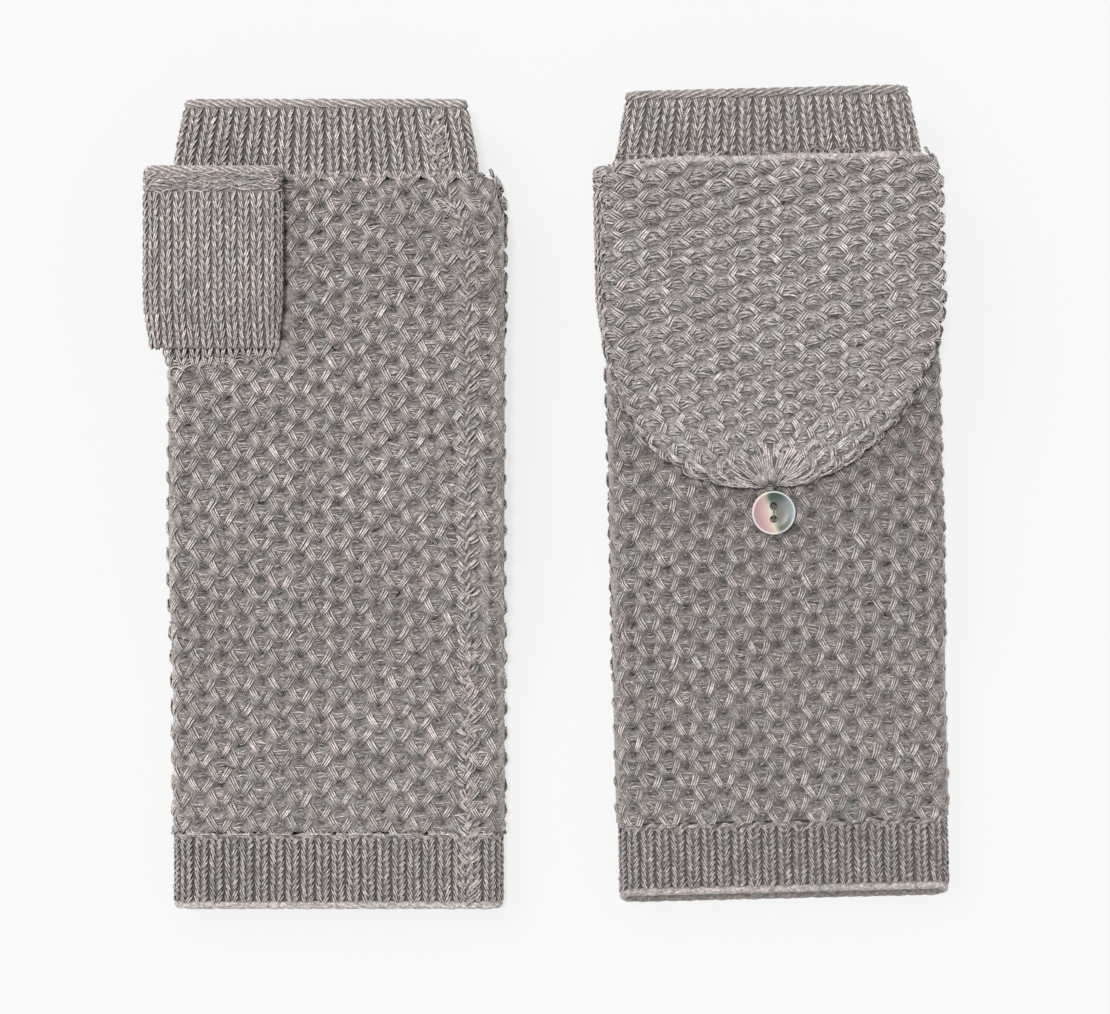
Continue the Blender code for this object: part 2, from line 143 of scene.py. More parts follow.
# The studio: the strength of the world, and (name, direction, spread in degrees, strength) of each sun
WORLD_STRENGTH = 0.48
SUNS = (("overhead", (-0.12, 0.10, 1.0), 10.0, 2.0), ("side", (-0.9, 0.7, 1.0), 30.0, 0.75))
FLOOR_HALF = 3.0


# ---- Drape ----


def smooth(value, start, end):
    t = np.clip((np.asarray(value, float) - start) / (end - start), 0.0, 1.0)
    return t * t * (3.0 - 2.0 * t)


def lift(y):
    return smooth(y, -60.0, -12.0)


def back_height(mitten, y):
    if mitten["palm_up"]:
        return BACK_TOP + (STACK - BACK_TOP) * (1.0 - lift(y))
    return BACK_TOP - PALM_LIFT * (1.0 - lift(y))


def palm_height(mitten, u, y):
    if mitten["palm_up"]:
        return back_height(mitten, y) - TUBE_DEPTH
    over_thumb = smooth(y, 8.0, 40.0) * (1.0 - smooth(u, -8.0, 16.0))
    return PALM_LIFT * np.maximum(over_thumb, smooth(y, 62.0, 86.0))


def hand_half_width(y):
    return 49.0 - 2.6 * smooth(y, 80.0, 94.0)


def wrist_half_width(_):
    return WRIST_HALF


def finger_half_width(y):
    return 44.2 - 3.0 * smooth(y, 96.1, HALF_LENGTH)


def seam_at(y):
    return 38.0 - 8.0 * smooth(y, 70.0, 112.0)


def local_points(mitten, node):
    """A CAD node's vertices in its mitten's local frame, in mm."""
    mesh = frame["nodes"][node].data
    co = np.empty(len(mesh.vertices) * 3, np.float32)
    mesh.vertices.foreach_get("co", co)
    co = co.reshape(-1, 3).astype(float) / MM
    c, s = math.cos(mitten["turn"]), math.sin(mitten["turn"])
    x, y = co[:, 0] - mitten["centre"][0], co[:, 1] - mitten["centre"][1]
    z = STACK - co[:, 2] if mitten["palm_up"] else co[:, 2]
    return np.stack([x * c + y * s, y * c - x * s, z], axis=1)


def to_world(mitten, points):
    """Local mm to world metres. Nothing sinks into the surface that the pair lies on."""
    c, s = math.cos(mitten["turn"]), math.sin(mitten["turn"])
    u, y, z = points[..., 0], points[..., 1], points[..., 2]
    x = mitten["centre"][0] + u * c - y * s
    along = mitten["centre"][1] + u * s + y * c
    height = STACK - z if mitten["palm_up"] else z
    low = FLOOR_CLEAR * (1.0 + 0.25 * np.sin(3.0 * u) * np.sin(2.7 * y))
    height = np.maximum(height, low)
    return np.stack([x, along, height], axis=-1) * MM


def find_mittens():
    """Each mitten's lie, read from its hood's hinge and its pieces."""
    joints = {j["name"]: j for j in frame["joints"]}
    found = []
    for side in ("left", "right"):
        hinge = joints[f"{side}_hood_flip"]
        palm_up = side == "left"
        sign = 1.0 if palm_up else -1.0
        turn = math.atan2(sign * hinge["axis"][1], sign * hinge["axis"][0])
        px, py = hinge["pos_m"][0] / MM, hinge["pos_m"][1] / MM
        centre = (px + HINGE_LOCAL[0] * math.sin(turn), py - HINGE_LOCAL[0] * math.cos(turn))
        mitten = {"side": side, "palm_up": palm_up, "turn": turn, "centre": centre}
        # The right mitten's two layers lie a little apart at the wrist.
        mitten["wrist_slide"] = 0.0 if palm_up else 1.4
        thumb = local_points(mitten, f"{side}_thumb_tube")
        rib = local_points(mitten, f"{side}_finger_rib")
        mitten["thumb_edge"] = float(thumb[:, 0].min())
        mitten["rib_shift"] = float((rib[:, 0].min() + rib[:, 0].max()) / 2.0)
        found.append(mitten)
    return found


# ---- Surfaces: developed (s, y) to local (u, y, z), with an outward direction ----


def tube_surface(mitten, face, half_width, flat_s, side_s, inset=0.0, shift=0.0):
    """One face of the flattened tube, out to the middle of its rounded sides."""

    def place(s, y):
        side = np.where(s < 0.0, -1.0, 1.0)
        flat = half_width(y) - END_ROUND
        u = side * np.clip(np.abs(s) / flat_s, 0.0, 1.0) * flat
        back = back_height(mitten, y) - inset
        low = palm_height(mitten, u, y) + inset
        middle, half = (low + back) / 2.0, (back - low) / 2.0
        phi = np.clip((np.abs(s) - flat_s) / side_s, 0.0, 1.12) * math.pi / 2.0
        u = u + side * (END_ROUND - inset) * np.sin(phi) + shift
        slide = mitten["wrist_slide"] * (1.0 - smooth(y, -116.0, -98.0)) * face * np.cos(phi)
        return np.stack([u, y + slide, middle + face * half * np.cos(phi)], axis=-1)

    place.outward = face
    return place


def thumb_surface(mitten, face, inset=0.0):
    """face -1 is the side away from the palm, which slopes into the palm at the thumb's base."""
    centre = mitten["thumb_edge"] + THUMB_WIDTH / 2.0

    def place(s, y):
        side = np.where(s < 0.0, -1.0, 1.0)
        u = side * np.clip(np.abs(s) / THUMB_FLAT, 0.0, 1.0) * THUMB_FLAT
        slope = 1.0 - smooth(y, 42.0, 60.0)
        low = 6.6 * slope + inset
        high = THUMB_DEPTH - inset
        middle, half = (low + high) / 2.0, (high - low) / 2.0
        phi = np.clip((np.abs(s) - THUMB_FLAT) / THUMB_SIDE, 0.0, 1.12) * math.pi / 2.0
        round_end = THUMB_DEPTH / 2.0 - inset - 1.6 * slope
        u = centre + u + side * round_end * np.sin(phi)
        return np.stack([u, y, middle + face * half * np.cos(phi)], axis=-1)

    place.outward = face
    return place


def hood_limit(du, dy):
    """Distance from the middle of the hood's straight edge to its outline, in a direction."""
    rho = np.hypot(du, dy) + 1e-9
    cos_t, sin_t = np.abs(du) / rho, np.maximum(-dy, 0.0) / rho
    power = np.where(du < 0.0, HOOD_FULL[0], HOOD_FULL[1])
    reach = np.where(du < 0.0, HOOD_HALF + HOOD_TIP[0], HOOD_HALF - HOOD_TIP[0])
    depth = HOOD_STRAIGHT - HOOD_TIP[1]
    return np.maximum((cos_t / reach) ** power + (sin_t / depth) ** power, 1e-12) ** (-1.0 / power)


def corner(y):
    """How far the corners beside the mouth are rounded in."""
    return 3.4 * np.clip((y - 87.0) / 10.0, 0.0, 1.2) ** 2


def hood_surface(face):
    """face 1 is the palm layer, on top where the hood is folded back; face -1 the back panel."""

    def place(a, b):
        du, dy = a - HOOD_TIP[0], np.minimum(b - HOOD_STRAIGHT, 0.0)
        rho = np.hypot(du, dy) + 1e-9
        edge = hood_limit(du, dy) - HOOD_ROUND - corner(b)
        phi = np.clip((rho - edge) / HOOD_QUARTER, 0.0, 1.15) * math.pi / 2.0
        radius = np.where(rho < edge, rho, edge + HOOD_ROUND * np.sin(phi))
        u = HOOD_TIP[0] + du / rho * radius
        y = np.where(b < HOOD_STRAIGHT, HOOD_STRAIGHT + dy / rho * radius, b)
        middle = (HOOD_LOW + HOOD_HIGH) / 2.0
        half = (HOOD_HIGH - HOOD_LOW) / 2.0
        # The drawn-up tip is thinner than the rest.
        tip = np.hypot(u - HOOD_TIP[0], y - HOOD_TIP[1])
        half = half * (0.55 + 0.45 * smooth(tip, 0.0, 16.0))
        sink = 1.7 * (1.0 - smooth(tip, 0.0, 16.0))
        return np.stack([u, y, middle - sink + face * half * np.cos(phi)], axis=-1)

    place.outward = face
    return place


def lift_off(surface, s, y, height):
    """Points at a height above a surface, and the surface's outward directions there."""
    step = 0.15
    across = surface(s + step, y) - surface(s - step, y)
    along = surface(s, y + step) - surface(s, y - step)
    normal = np.cross(across, along) * surface.outward
    normal /= np.linalg.norm(normal, axis=-1, keepdims=True) + 1e-12
    return surface(s, y) + height[..., None] * normal, normal


# ---- Meshes ----


class Knit:
    """Gathers strands and cloth, then makes them one object."""

    def __init__(self):
        self.points, self.quads, self.yarn, self.tone = [], [], [], []
        self.count = 0

    def add(self, points, quads, yarn, tone):
        self.points.append(points.reshape(-1, 3))
        self.quads.append(quads.reshape(-1, 4) + self.count)
        self.yarn.append(yarn.reshape(-1, 3))
        self.tone.append(np.broadcast_to(tone, points.shape[:-1]).reshape(-1))
        self.count += points.reshape(-1, 3).shape[0]

    def strands(self, lines, normals, radius, tone, rng, ridge=(0.26, 1.56), squash=0.85, sides=4):
        """Closed strands along lines (N, S, 3), with an even number of sides. The ridge is lighter
        than the sides: ridge gives a painted highlight along each strand's top and painted shade on
        its sides and underside."""
        n, steps, _ = lines.shape
        tangent = np.gradient(lines, axis=1)
        tangent /= np.linalg.norm(tangent, axis=-1, keepdims=True) + 1e-12
        side = np.cross(tangent, normals)
        side /= np.linalg.norm(side, axis=-1, keepdims=True) + 1e-12
        up = np.cross(side, tangent)
        radius = np.broadcast_to(radius, (n, steps))[..., None]
        angles = 2.0 * math.pi * np.arange(sides) / sides
        ring = [(side * math.cos(a) + up * math.sin(a) * squash) * radius for a in angles]
        points = lines[:, :, None, :] + np.stack(ring, axis=2)
        length = np.linalg.norm(np.diff(lines, axis=1), axis=-1).cumsum(axis=1)
        length = np.concatenate([np.zeros((n, 1)), length], axis=1)
        yarn = np.empty((n, steps, sides, 3))
        yarn[..., 0] = (length + rng.uniform(0, 50, (n, 1)))[:, :, None]
        yarn[..., 1] = (np.arange(sides) / sides)[None, None, :]
        yarn[..., 2] = rng.uniform(0, 50, (n, 1, 1))
        # Painted light: the strand's top is toned lighter and its sides and underside darker, as light
        # falls on a round strand.
        low, high = ridge
        rise = np.sin(angles)
        shade = low + (high - low) * np.clip(rise, 0.0, 1.0) - 0.3 * low * np.clip(-rise, 0.0, 1.0)
        tone = np.broadcast_to(tone, (n, steps))[:, :, None] * shade[None, None, :]
        start = (np.arange(n) * steps * sides)[:, None, None]
        row = (np.arange(steps - 1) * sides)[None, :, None]
        j = np.arange(sides)[None, None, :]
        k = (j + 1) % sides
        here, there = start + row, start + row + sides
        quads = [np.stack([here + j, here + k, there + k, there + j], axis=-1).reshape(-1, 4)]
        for m in range(sides // 2 - 1):
            cap = np.array([[m, m + 1, sides - 2 - m, sides - 1 - m]])
            quads.append(start[:, 0] + cap[:, ::-1])
            quads.append(start[:, 0] + (steps - 1) * sides + cap)
        self.add(points, np.concatenate(quads), yarn, tone)

    def shell(self, outer, inner, tone_outer, tone_inner, cyclic=False, hole=None, walls=True):
        """Closed cloth between two grids (rows, columns, 3). cyclic joins the last column to the
        first, and walls=False leaves their edges to be welded. hole is (row0, row1, column0,
        column1), a way through the cloth."""
        rows, columns, _ = outer.shape
        wide = columns if cyclic else columns - 1
        index = np.arange(rows * columns).reshape(rows, columns)
        right = np.roll(index, -1, axis=1)
        faces = np.stack([index[:-1], right[:-1], right[1:], index[1:]], axis=-1)[:, :wide]
        keep = np.ones((rows - 1, wide), bool)
        if hole:
            keep[hole[0]:hole[1], hole[2]:hole[3]] = False
        total = rows * columns
        quads = [faces[keep], faces[keep][:, ::-1] + total]

        def rim(a, b):
            quads.append(np.stack([b, a, a + total, b + total], axis=-1))

        rim(faces[0][:, 0], faces[0][:, 1])
        rim(faces[-1][:, 2], faces[-1][:, 3])
        if walls and not cyclic:
            rim(index[1:, 0], index[:-1, 0])
            rim(index[:-1, -1], index[1:, -1])
        if hole:
            r0, r1, c0, c1 = hole
            rim(index[r0, c0:c1][::-1] + 1, index[r0, c0:c1][::-1])
            rim(index[r1, c0:c1], index[r1, c0:c1] + 1)
            rim(index[r0:r1, c0], index[r0:r1, c0] + columns)
            rim(index[r0:r1, c1] + columns, index[r0:r1, c1])
        points = np.concatenate([outer.reshape(-1, 3), inner.reshape(-1, 3)])
        yarn = points * np.array([1.0, 0.6, 1.0])
        tone = np.concatenate([
            np.broadcast_to(tone_outer, outer.shape[:-1]).reshape(-1),
            np.broadcast_to(tone_inner, inner.shape[:-1]).reshape(-1),
        ])
        self.add(points, np.concatenate(quads), yarn, tone)

    def make(self, mitten, name, finish, nodes=(), weld=False):
        points = to_world(mitten, np.concatenate(self.points))
        quads = np.concatenate(self.quads)
        if mitten["palm_up"]:
            quads = quads[:, ::-1]
        mesh = bpy.data.meshes.new(name)
        mesh.vertices.add(len(points))
        mesh.vertices.foreach_set("co", points.astype(np.float32).ravel())
        mesh.loops.add(quads.size)
        mesh.loops.foreach_set("vertex_index", quads.astype(np.int32).ravel())
        mesh.polygons.add(len(quads))
        mesh.polygons.foreach_set("loop_start", np.arange(0, quads.size, 4, dtype=np.int32))
        yarn = mesh.attributes.new("yarn", "FLOAT_VECTOR", "POINT")
        yarn.data.foreach_set("vector", np.concatenate(self.yarn).astype(np.float32).ravel())
        tone = mesh.attributes.new("tone", "FLOAT", "POINT")
        tone.data.foreach_set("value", np.concatenate(self.tone).astype(np.float32))
        mesh.update(calc_edges=True)
        mesh.validate()
        if weld:
            joined = bmesh.new()
            joined.from_mesh(mesh)
            bmesh.ops.remove_doubles(joined, verts=joined.verts, dist=2e-6)
            joined.to_mesh(mesh)
            joined.free()
        mesh.shade_smooth()
        mesh.materials.append(finish)
        obj = bpy.data.objects.new(f"{mitten['side']}_{name}", mesh)
        bpy.context.scene.collection.objects.link(obj)
        if nodes:
            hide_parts(*[f"{mitten['side']}_{n}" for n in nodes])
        return obj


def spacing(cell, y):
    """Width of a lattice cell at y, as the cloth is drawn in towards the fingers."""
    wide, narrow = cell[0]
    return wide + (narrow - wide) * np.clip((y + 95.0) / 190.0, 0.0, 1.0)


def lattice(s_range, y_range, cell, phase):
    """Places of a centred lattice, whose second half lies half a cell on both ways."""
    places = []
    for half in (0.0, 0.5):
        start = phase[1] + half * cell[1]
        first = math.ceil((y_range[0] - start) / cell[1])
        last = math.floor((y_range[1] - start) / cell[1])
        for j in range(first, last + 1):
            y = start + j * cell[1]
            width = float(spacing(cell, y))
            i0 = math.ceil((s_range[0] - phase[0]) / width - half)
            i1 = math.floor((s_range[1] - phase[0]) / width - half)
            s = phase[0] + (np.arange(i0, i1 + 1) + half) * width
            places.append(np.stack([s, np.full_like(s, y)], axis=1))
    return np.concatenate(places)


def pits(s, y, cell, phase, at, spread):
    """1 in the recess beside each stitch of the lattice, falling to 0 round it."""
    value = 0.0
    for half in (0.0, 0.5):
        row = np.round((y - phase[1] - at[1]) / cell[1] - half) + half
        dy = y - phase[1] - at[1] - row * cell[1]
        width = spacing(cell, phase[1] + row * cell[1])
        across = (s - phase[0] - at[0]) / width - half
        ds = (across - np.round(across)) * width
        value = value + np.exp(-((ds / spread[0]) ** 2) - (dy / spread[1]) ** 2)
    return np.clip(value, 0.0, 1.0)


def arms(places, left, right, plies, pitch, heights, rng, wobble=0.14, bow=0.1):
    """Both arms of each V as (s, y, height) lines. left and right are each ((x, y), (x, y)), the
    ends of that arm, with x counted outwards."""
    n, steps = len(places), len(heights)
    t = np.linspace(0.0, 1.0, steps)
    lines = []
    for sign, (start, end) in ((-1.0, left), (1.0, right)):
        dx, dy = end[0] - start[0], end[1] - start[1]
        length = math.hypot(dx, dy)
        px, py = dy / length, -dx / length
        shift = rng.normal(0.0, wobble, (n, 2, 2))
        for ply in range(plies):
            off = (ply - (plies - 1) / 2.0) * pitch
            spread = off * (0.86 + 0.28 * t)
            x = start[0] + dx * t + px * spread + bow * np.sin(math.pi * t)
            y = start[1] + dy * t + py * spread
            ends = shift[:, :1] * (1.0 - t)[None, :, None] + shift[:, 1:] * t[None, :, None]
            ends = ends + rng.normal(0.0, wobble * 0.45, (n, 1, 2))
            line = np.empty((n, steps, 3))
            line[..., 0] = places[:, :1] + sign * x[None, :] + ends[..., 0]
            line[..., 1] = places[:, 1:] + y[None, :] + ends[..., 1]
            rise = heights - 0.10 * abs(off) / pitch
            line[..., 2] = rise[None, :] + rng.normal(0.0, 0.07, (n, 1))
            lines.append(line)
    return np.concatenate(lines)


def puffs(places, rows, heights, rng, wobble=0.2):
    """Short strands across the inside of each V: rows of (y, half length, rise in the middle)."""
    steps = len(heights)
    t = np.linspace(-1.0, 1.0, steps)
    lines = []
    for y, half, rise in rows:
        n = len(places)
        line = np.empty((n, steps, 3))
        reach = half * (1.0 + rng.normal(0.0, 0.14, (n, 1)))
        tilt = rng.normal(0.0, 0.10 + 0.10 * half, (n, 1))
        line[..., 0] = places[:, :1] + reach * t[None, :] + rng.normal(0.0, wobble, (n, 1))
        line[..., 1] = (places[:, 1:] + y + rise * (1.0 - t**2)[None, :] + tilt * t[None, :]
                        + rng.normal(0.0, wobble * 0.9, (n, steps)))
        line[..., 2] = heights[None, :] + rng.normal(0.0, 0.12, (n, steps))
        lines.append(line)
    return np.concatenate(lines)


def sew(knit, surface, lines, radius, tone, rng, spread=0.10, plies=1, **kwargs):
    """Sweeps (s, y, height) lines on a surface. The plies of one arm share most of their tone."""
    points, normals = lift_off(surface, lines[..., 0], lines[..., 1], lines[..., 2])
    n, steps = lines.shape[:2]
    taper = np.ones(steps)
    taper[0] = taper[-1] = 0.62
    shared = rng.normal(0.0, spread, (n // plies, 1))
    arm = len(shared) // 2
    if plies > 1:
        shared = np.concatenate([np.tile(shared[:arm], (plies, 1)), np.tile(shared[arm:], (plies, 1))])
    tones = tone * (1.0 + shared + rng.normal(0.0, spread * 0.6, (n, 1)))
    knit.strands(points, normals, radius * taper[None, :], tones, rng, **kwargs)


# ---- Knitted fabrics ----


def wisps(places, half, turn, low, high, rng):
    """Short curled fibres centred on the places, turned by about turn radians."""
    t = np.array([-1.0, 0.0, 1.0])
    n = len(places)
    angle = rng.normal(0.0, turn, (n, 1))
    reach = half * rng.uniform(0.75, 1.25, (n, 1))
    bend = rng.normal(0.2, 0.25, (n, 1))
    dx = reach * t[None, :]
    dy = bend * (1.0 - t**2)[None, :]
    line = np.empty((n, 3, 3))
    line[..., 0] = places[:, :1] + dx * np.cos(angle) - dy * np.sin(angle)
    line[..., 1] = places[:, 1:] + dx * np.sin(angle) + dy * np.cos(angle)
    line[..., 2] = np.array([low, high, low])[None, :] + rng.normal(0.0, 0.12, (n, 1))
    return line


def fuzz(places, count, rng, sign=1.0):
    """Fibres lying across the inside of each V, in rows that widen towards its top."""
    lines = []
    for k in range(count):
        y = 0.95 + 3.8 * (k + rng.uniform(0.1, 0.9, (len(places), 1))) / count
        room = np.clip(0.62 * y, 0.45, 2.3)
        x = rng.normal(0.0, 0.35, (len(places), 1))
        at = np.concatenate([places[:, :1] + x, places[:, 1:] + sign * y], axis=1)
        lines.append(wisps(at, room, 0.24, -0.80, -0.36, rng))
    return np.concatenate(lines)


def honeycomb(knit, surface, places, side, rng, plies=3, fill=9):
    """Body stitches: V bundles with a soft fuzzy filling inside."""
    left, right = BODY_ARMS[side]
    bundles = arms(places, left, right, plies, 1.86 / plies, ARM_HEIGHTS, rng)
    inside = fuzz(places, fill, rng)
    for lines in (bundles, inside):
        # Pressed flat where the cloth folds round the sides, and held by the link rows
        lines[..., 2] -= 0.26 * smooth(np.abs(lines[..., 0]), 46.5, 50.0)
        lines[..., 1] = np.clip(lines[..., 1], TUBE_Y[0] - 0.6, TUBE_Y[1] + 0.2)
    sew(knit, surface, bundles, 0.95 / plies, 1.05, rng, spread=0.12, plies=plies)
    # The filling is toned darker than the arms, and the deep fibres below it darker still: painted shade
    # down inside each stitch.
    sew(knit, surface, inside, 0.30, 0.80, rng, spread=0.24, ridge=(0.30, 1.42))
    if plies > 2:
        for _ in range(3):
            deep = places + np.array([0.0, -1.2]) + rng.normal(0.0, 0.5, places.shape)
            line = wisps(deep, 1.1, 0.5, -1.35, -0.92, rng)
            sew(knit, surface, line, 0.30, 0.52, rng, spread=0.35, ridge=(0.30, 1.5))


def rib_columns(knit, surface, columns, rows, legs, rng, tone):
    """Columns of V stitches, each tucked under the next, with grooves between them."""
    s, y = np.meshgrid(columns, rows, indexing="ij")
    places = np.stack([s.ravel(), y.ravel()], axis=1)
    lines = arms(places, legs[0], legs[1], 2, 0.56, RIB_HEIGHTS, rng, wobble=0.12, bow=0.08)
    sew(knit, surface, lines, 0.33, tone, rng, spread=0.10, plies=2, ridge=(0.16, 1.66))


def ring_path(mitten, half_width, y, inset, shift=0.0, step=0.9):
    """A closed line round the tube at y, as local points and outward directions."""
    reach = BODY_FLAT + BODY_SIDE
    count = int(2 * reach / step)
    s = np.linspace(-reach, reach, count, endpoint=False)
    back = tube_surface(mitten, 1, half_width, BODY_FLAT, BODY_SIDE, inset, shift)
    palm = tube_surface(mitten, -1, half_width, BODY_FLAT, BODY_SIDE, inset, shift)
    ys = np.full(count, float(y))
    zero = np.zeros(count)
    top, top_n = lift_off(back, s, ys, zero)
    low, low_n = lift_off(palm, s[::-1], ys, zero)
    return np.concatenate([top, low]), np.concatenate([top_n, low_n])


def resample(points, normals, step):
    """Even steps along a line."""
    length = np.concatenate([[0.0], np.linalg.norm(np.diff(points, axis=0), axis=1).cumsum()])
    count = max(4, int(length[-1] / step))
    at = np.linspace(0.0, length[-1], count)
    line = np.stack([np.interp(at, length, points[:, i]) for i in range(3)], axis=1)
    normal = np.stack([np.interp(at, length, normals[:, i]) for i in range(3)], axis=1)
    normal /= np.linalg.norm(normal, axis=1, keepdims=True) + 1e-12
    return line, normal, at


def twisted(knit, points, normals, radius, strand, pitch, count, tone, rng, step=0.75, flat=0.8):
    """A plied cord: strands wound round a line."""
    line, normal, at = resample(points, normals, step)
    tangent = np.gradient(line, axis=0)
    tangent /= np.linalg.norm(tangent, axis=1, keepdims=True) + 1e-12
    side = np.cross(tangent, normal)
    side /= np.linalg.norm(side, axis=1, keepdims=True) + 1e-12
    up = np.cross(side, tangent)
    waver = np.cumsum(rng.normal(0.0, 0.12, len(at)))
    for k in range(count):
        angle = 2.0 * math.pi * (at / pitch + k / count) + waver
        path = line + radius * (np.cos(angle)[:, None] * side + flat * np.sin(angle)[:, None] * up)
        size = strand * (1.0 + 0.08 * np.sin(0.9 * at + k))
        # Painted light: each strand is toned lighter where it winds over the top of the cord and darker
        # where it passes under; the small random factor is the strand's own tone.
        tones = tone * (1.0 + 0.30 * np.sin(angle)) * rng.uniform(0.94, 1.06)
        facing = np.sin(angle)[:, None] * up + np.cos(angle)[:, None] * side + 0.4 * up
        knit.strands(path[None], facing[None], size[None], tones[None], rng, ridge=(0.62, 1.18), squash=1.0)


def soft_edge(knit, points, normals, radius, count, pitch, tone, rng, wave=(4.7, 0.12), chain=False):
    """A soft rolled edge: a lumpy round core with loose strands lying along it. A chain edge has a
    smaller core, toned darker as painted shade under its strands, so that its slanting stitches
    stand proud."""
    line, normal, at = resample(points, normals, 0.8)
    turn = rng.uniform(0.0, 6.0, 3)
    lumps = 1.0 + wave[1] * np.sin(2.0 * math.pi * at / wave[0] + turn[0])
    lumps = lumps + 0.06 * np.sin(0.61 * at + turn[1])
    # Painted light and shade: the core is toned lighter and darker in step with its lumps, a little ahead
    # of them.
    shade = tone * (1.0 + 0.10 * np.sin(2.0 * math.pi * at / wave[0] + turn[0] + 0.8))
    # A chain edge's core is toned darker: painted shade under the strands wound round it.
    core, dark = (0.80, 0.62) if chain else (1.0, 1.0)
    knit.strands(line[None], normal[None], (radius * core * lumps)[None], shade[None] * dark, rng,
                 ridge=(0.82, 1.04), squash=0.92, sides=8)
    twisted(knit, points, normals, radius * 0.80, radius * 0.27, pitch, count, tone * 1.02, rng)


# ---- Materials ----


class Tree:
    """A node material under construction. An input is a value or another node's output."""

    def __init__(self, name, inputs):
        self.material = bpy.data.materials.new(name)
        self.material.use_nodes = True
        self.nodes = self.material.node_tree.nodes
        self.shader = self.nodes["Principled BSDF"]
        self.fill(self.shader, inputs)

    def fill(self, node, inputs):
        for key, value in inputs.items():
            if isinstance(value, bpy.types.NodeSocket):
                self.material.node_tree.links.new(value, node.inputs[key])
            else:
                node.inputs[key].default_value = value

    def add(self, kind, output, inputs=None, **settings):
        """A new node's output."""
        node = self.nodes.new(f"ShaderNode{kind}")
        for key, value in settings.items():
            setattr(node, key, value)
        self.fill(node, inputs or {})
        return node.outputs[output]

    def noise(self, vector, scale, detail, roughness=0.5, distortion=0.0):
        return self.add("TexNoise", "Fac", {
            "Vector": vector, "Scale": scale, "Detail": detail, "Roughness": roughness,
            "Distortion": distortion})

    def math(self, operation, *values):
        return self.add("Math", 0, dict(enumerate(values)), operation=operation)

    def vector(self, operation, output, *values):
        return self.add("VectorMath", output, dict(enumerate(values)), operation=operation)

    def remap(self, value, start, end, low, high, **settings):
        return self.add("MapRange", "Result", {
            "Value": value, "From Min": start, "From Max": end, "To Min": low, "To Max": high}, **settings)

    def mix(self, factor, colour, other):
        return self.add("Mix", "Result", {"Factor": factor, "A": colour, "B": other}, data_type="RGBA")

    def ramp(self, value, stops):
        output = self.add("ValToRGB", "Color", {"Fac": value})
        elements = output.node.color_ramp.elements
        for element, (position, colour) in zip(elements, (stops[0], stops[-1])):
            element.position = position
            element.color = (*colour, 1.0)
        for position, colour in stops[1:-1]:
            elements.new(position).color = (*colour, 1.0)
        return output


def wool(name, colour, sheen=0.35):
    """Brushed heathered wool: colour by strand and by fibre streak, bluish grey heather patches,
    and a fine fibrous bump."""
    tree = Tree(name, {
        "Roughness": 0.92, "Specular IOR Level": 0.18, "Sheen Weight": sheen, "Sheen Roughness": 0.55,
        "Sheen Tint": (0.93, 0.90, 0.89, 1.0)})
    yarn = tree.add("Attribute", "Vector", attribute_name="yarn")
    # The tone attribute carries each strand's own tone together with the painted highlight and shade given
    # where the meshes are built.
    value = tree.add("Attribute", "Fac", attribute_name="tone")
    place = tree.add("TexCoord", "Object")
    along = tree.add("Mapping", "Vector", {"Vector": yarn, "Scale": (0.55, 9.0, 3.1)})
    streak = tree.noise(along, 1.0, 3.0, 0.65)
    fibre = tree.noise(place, 1150.0, 3.0, 0.7)
    cloud = tree.noise(place, 55.0, 2.0)
    for noise, span in (
        (streak, (0.30, 0.70, 0.72, 1.30)),
        (fibre, (0.36, 0.64, 0.58, 1.42)),
        (cloud, (0.3, 0.7, 0.94, 1.06)),
    ):
        value = tree.math("MULTIPLY", value, tree.remap(noise, *span))
    heather = tree.ramp(tree.noise(place, 150.0, 3.0, 0.6), (
        (0.36, (1.025, 0.992, 0.985)), (0.52, (1.0, 1.0, 1.0)), (0.70, (0.90, 0.975, 0.965))))
    tint = tree.vector("MULTIPLY", "Vector", heather, colour)
    final = tree.add("VectorMath", "Vector", {0: tint, "Scale": value}, operation="SCALE")
    nap = tree.math("ADD", tree.noise(place, 2600.0, 2.0, 0.6), streak)
    bump = tree.add("Bump", "Normal", {"Strength": 0.55, "Distance": 0.00022, "Height": nap})
    tree.fill(tree.shader, {"Base Color": final, "Normal": bump})
    return tree.material


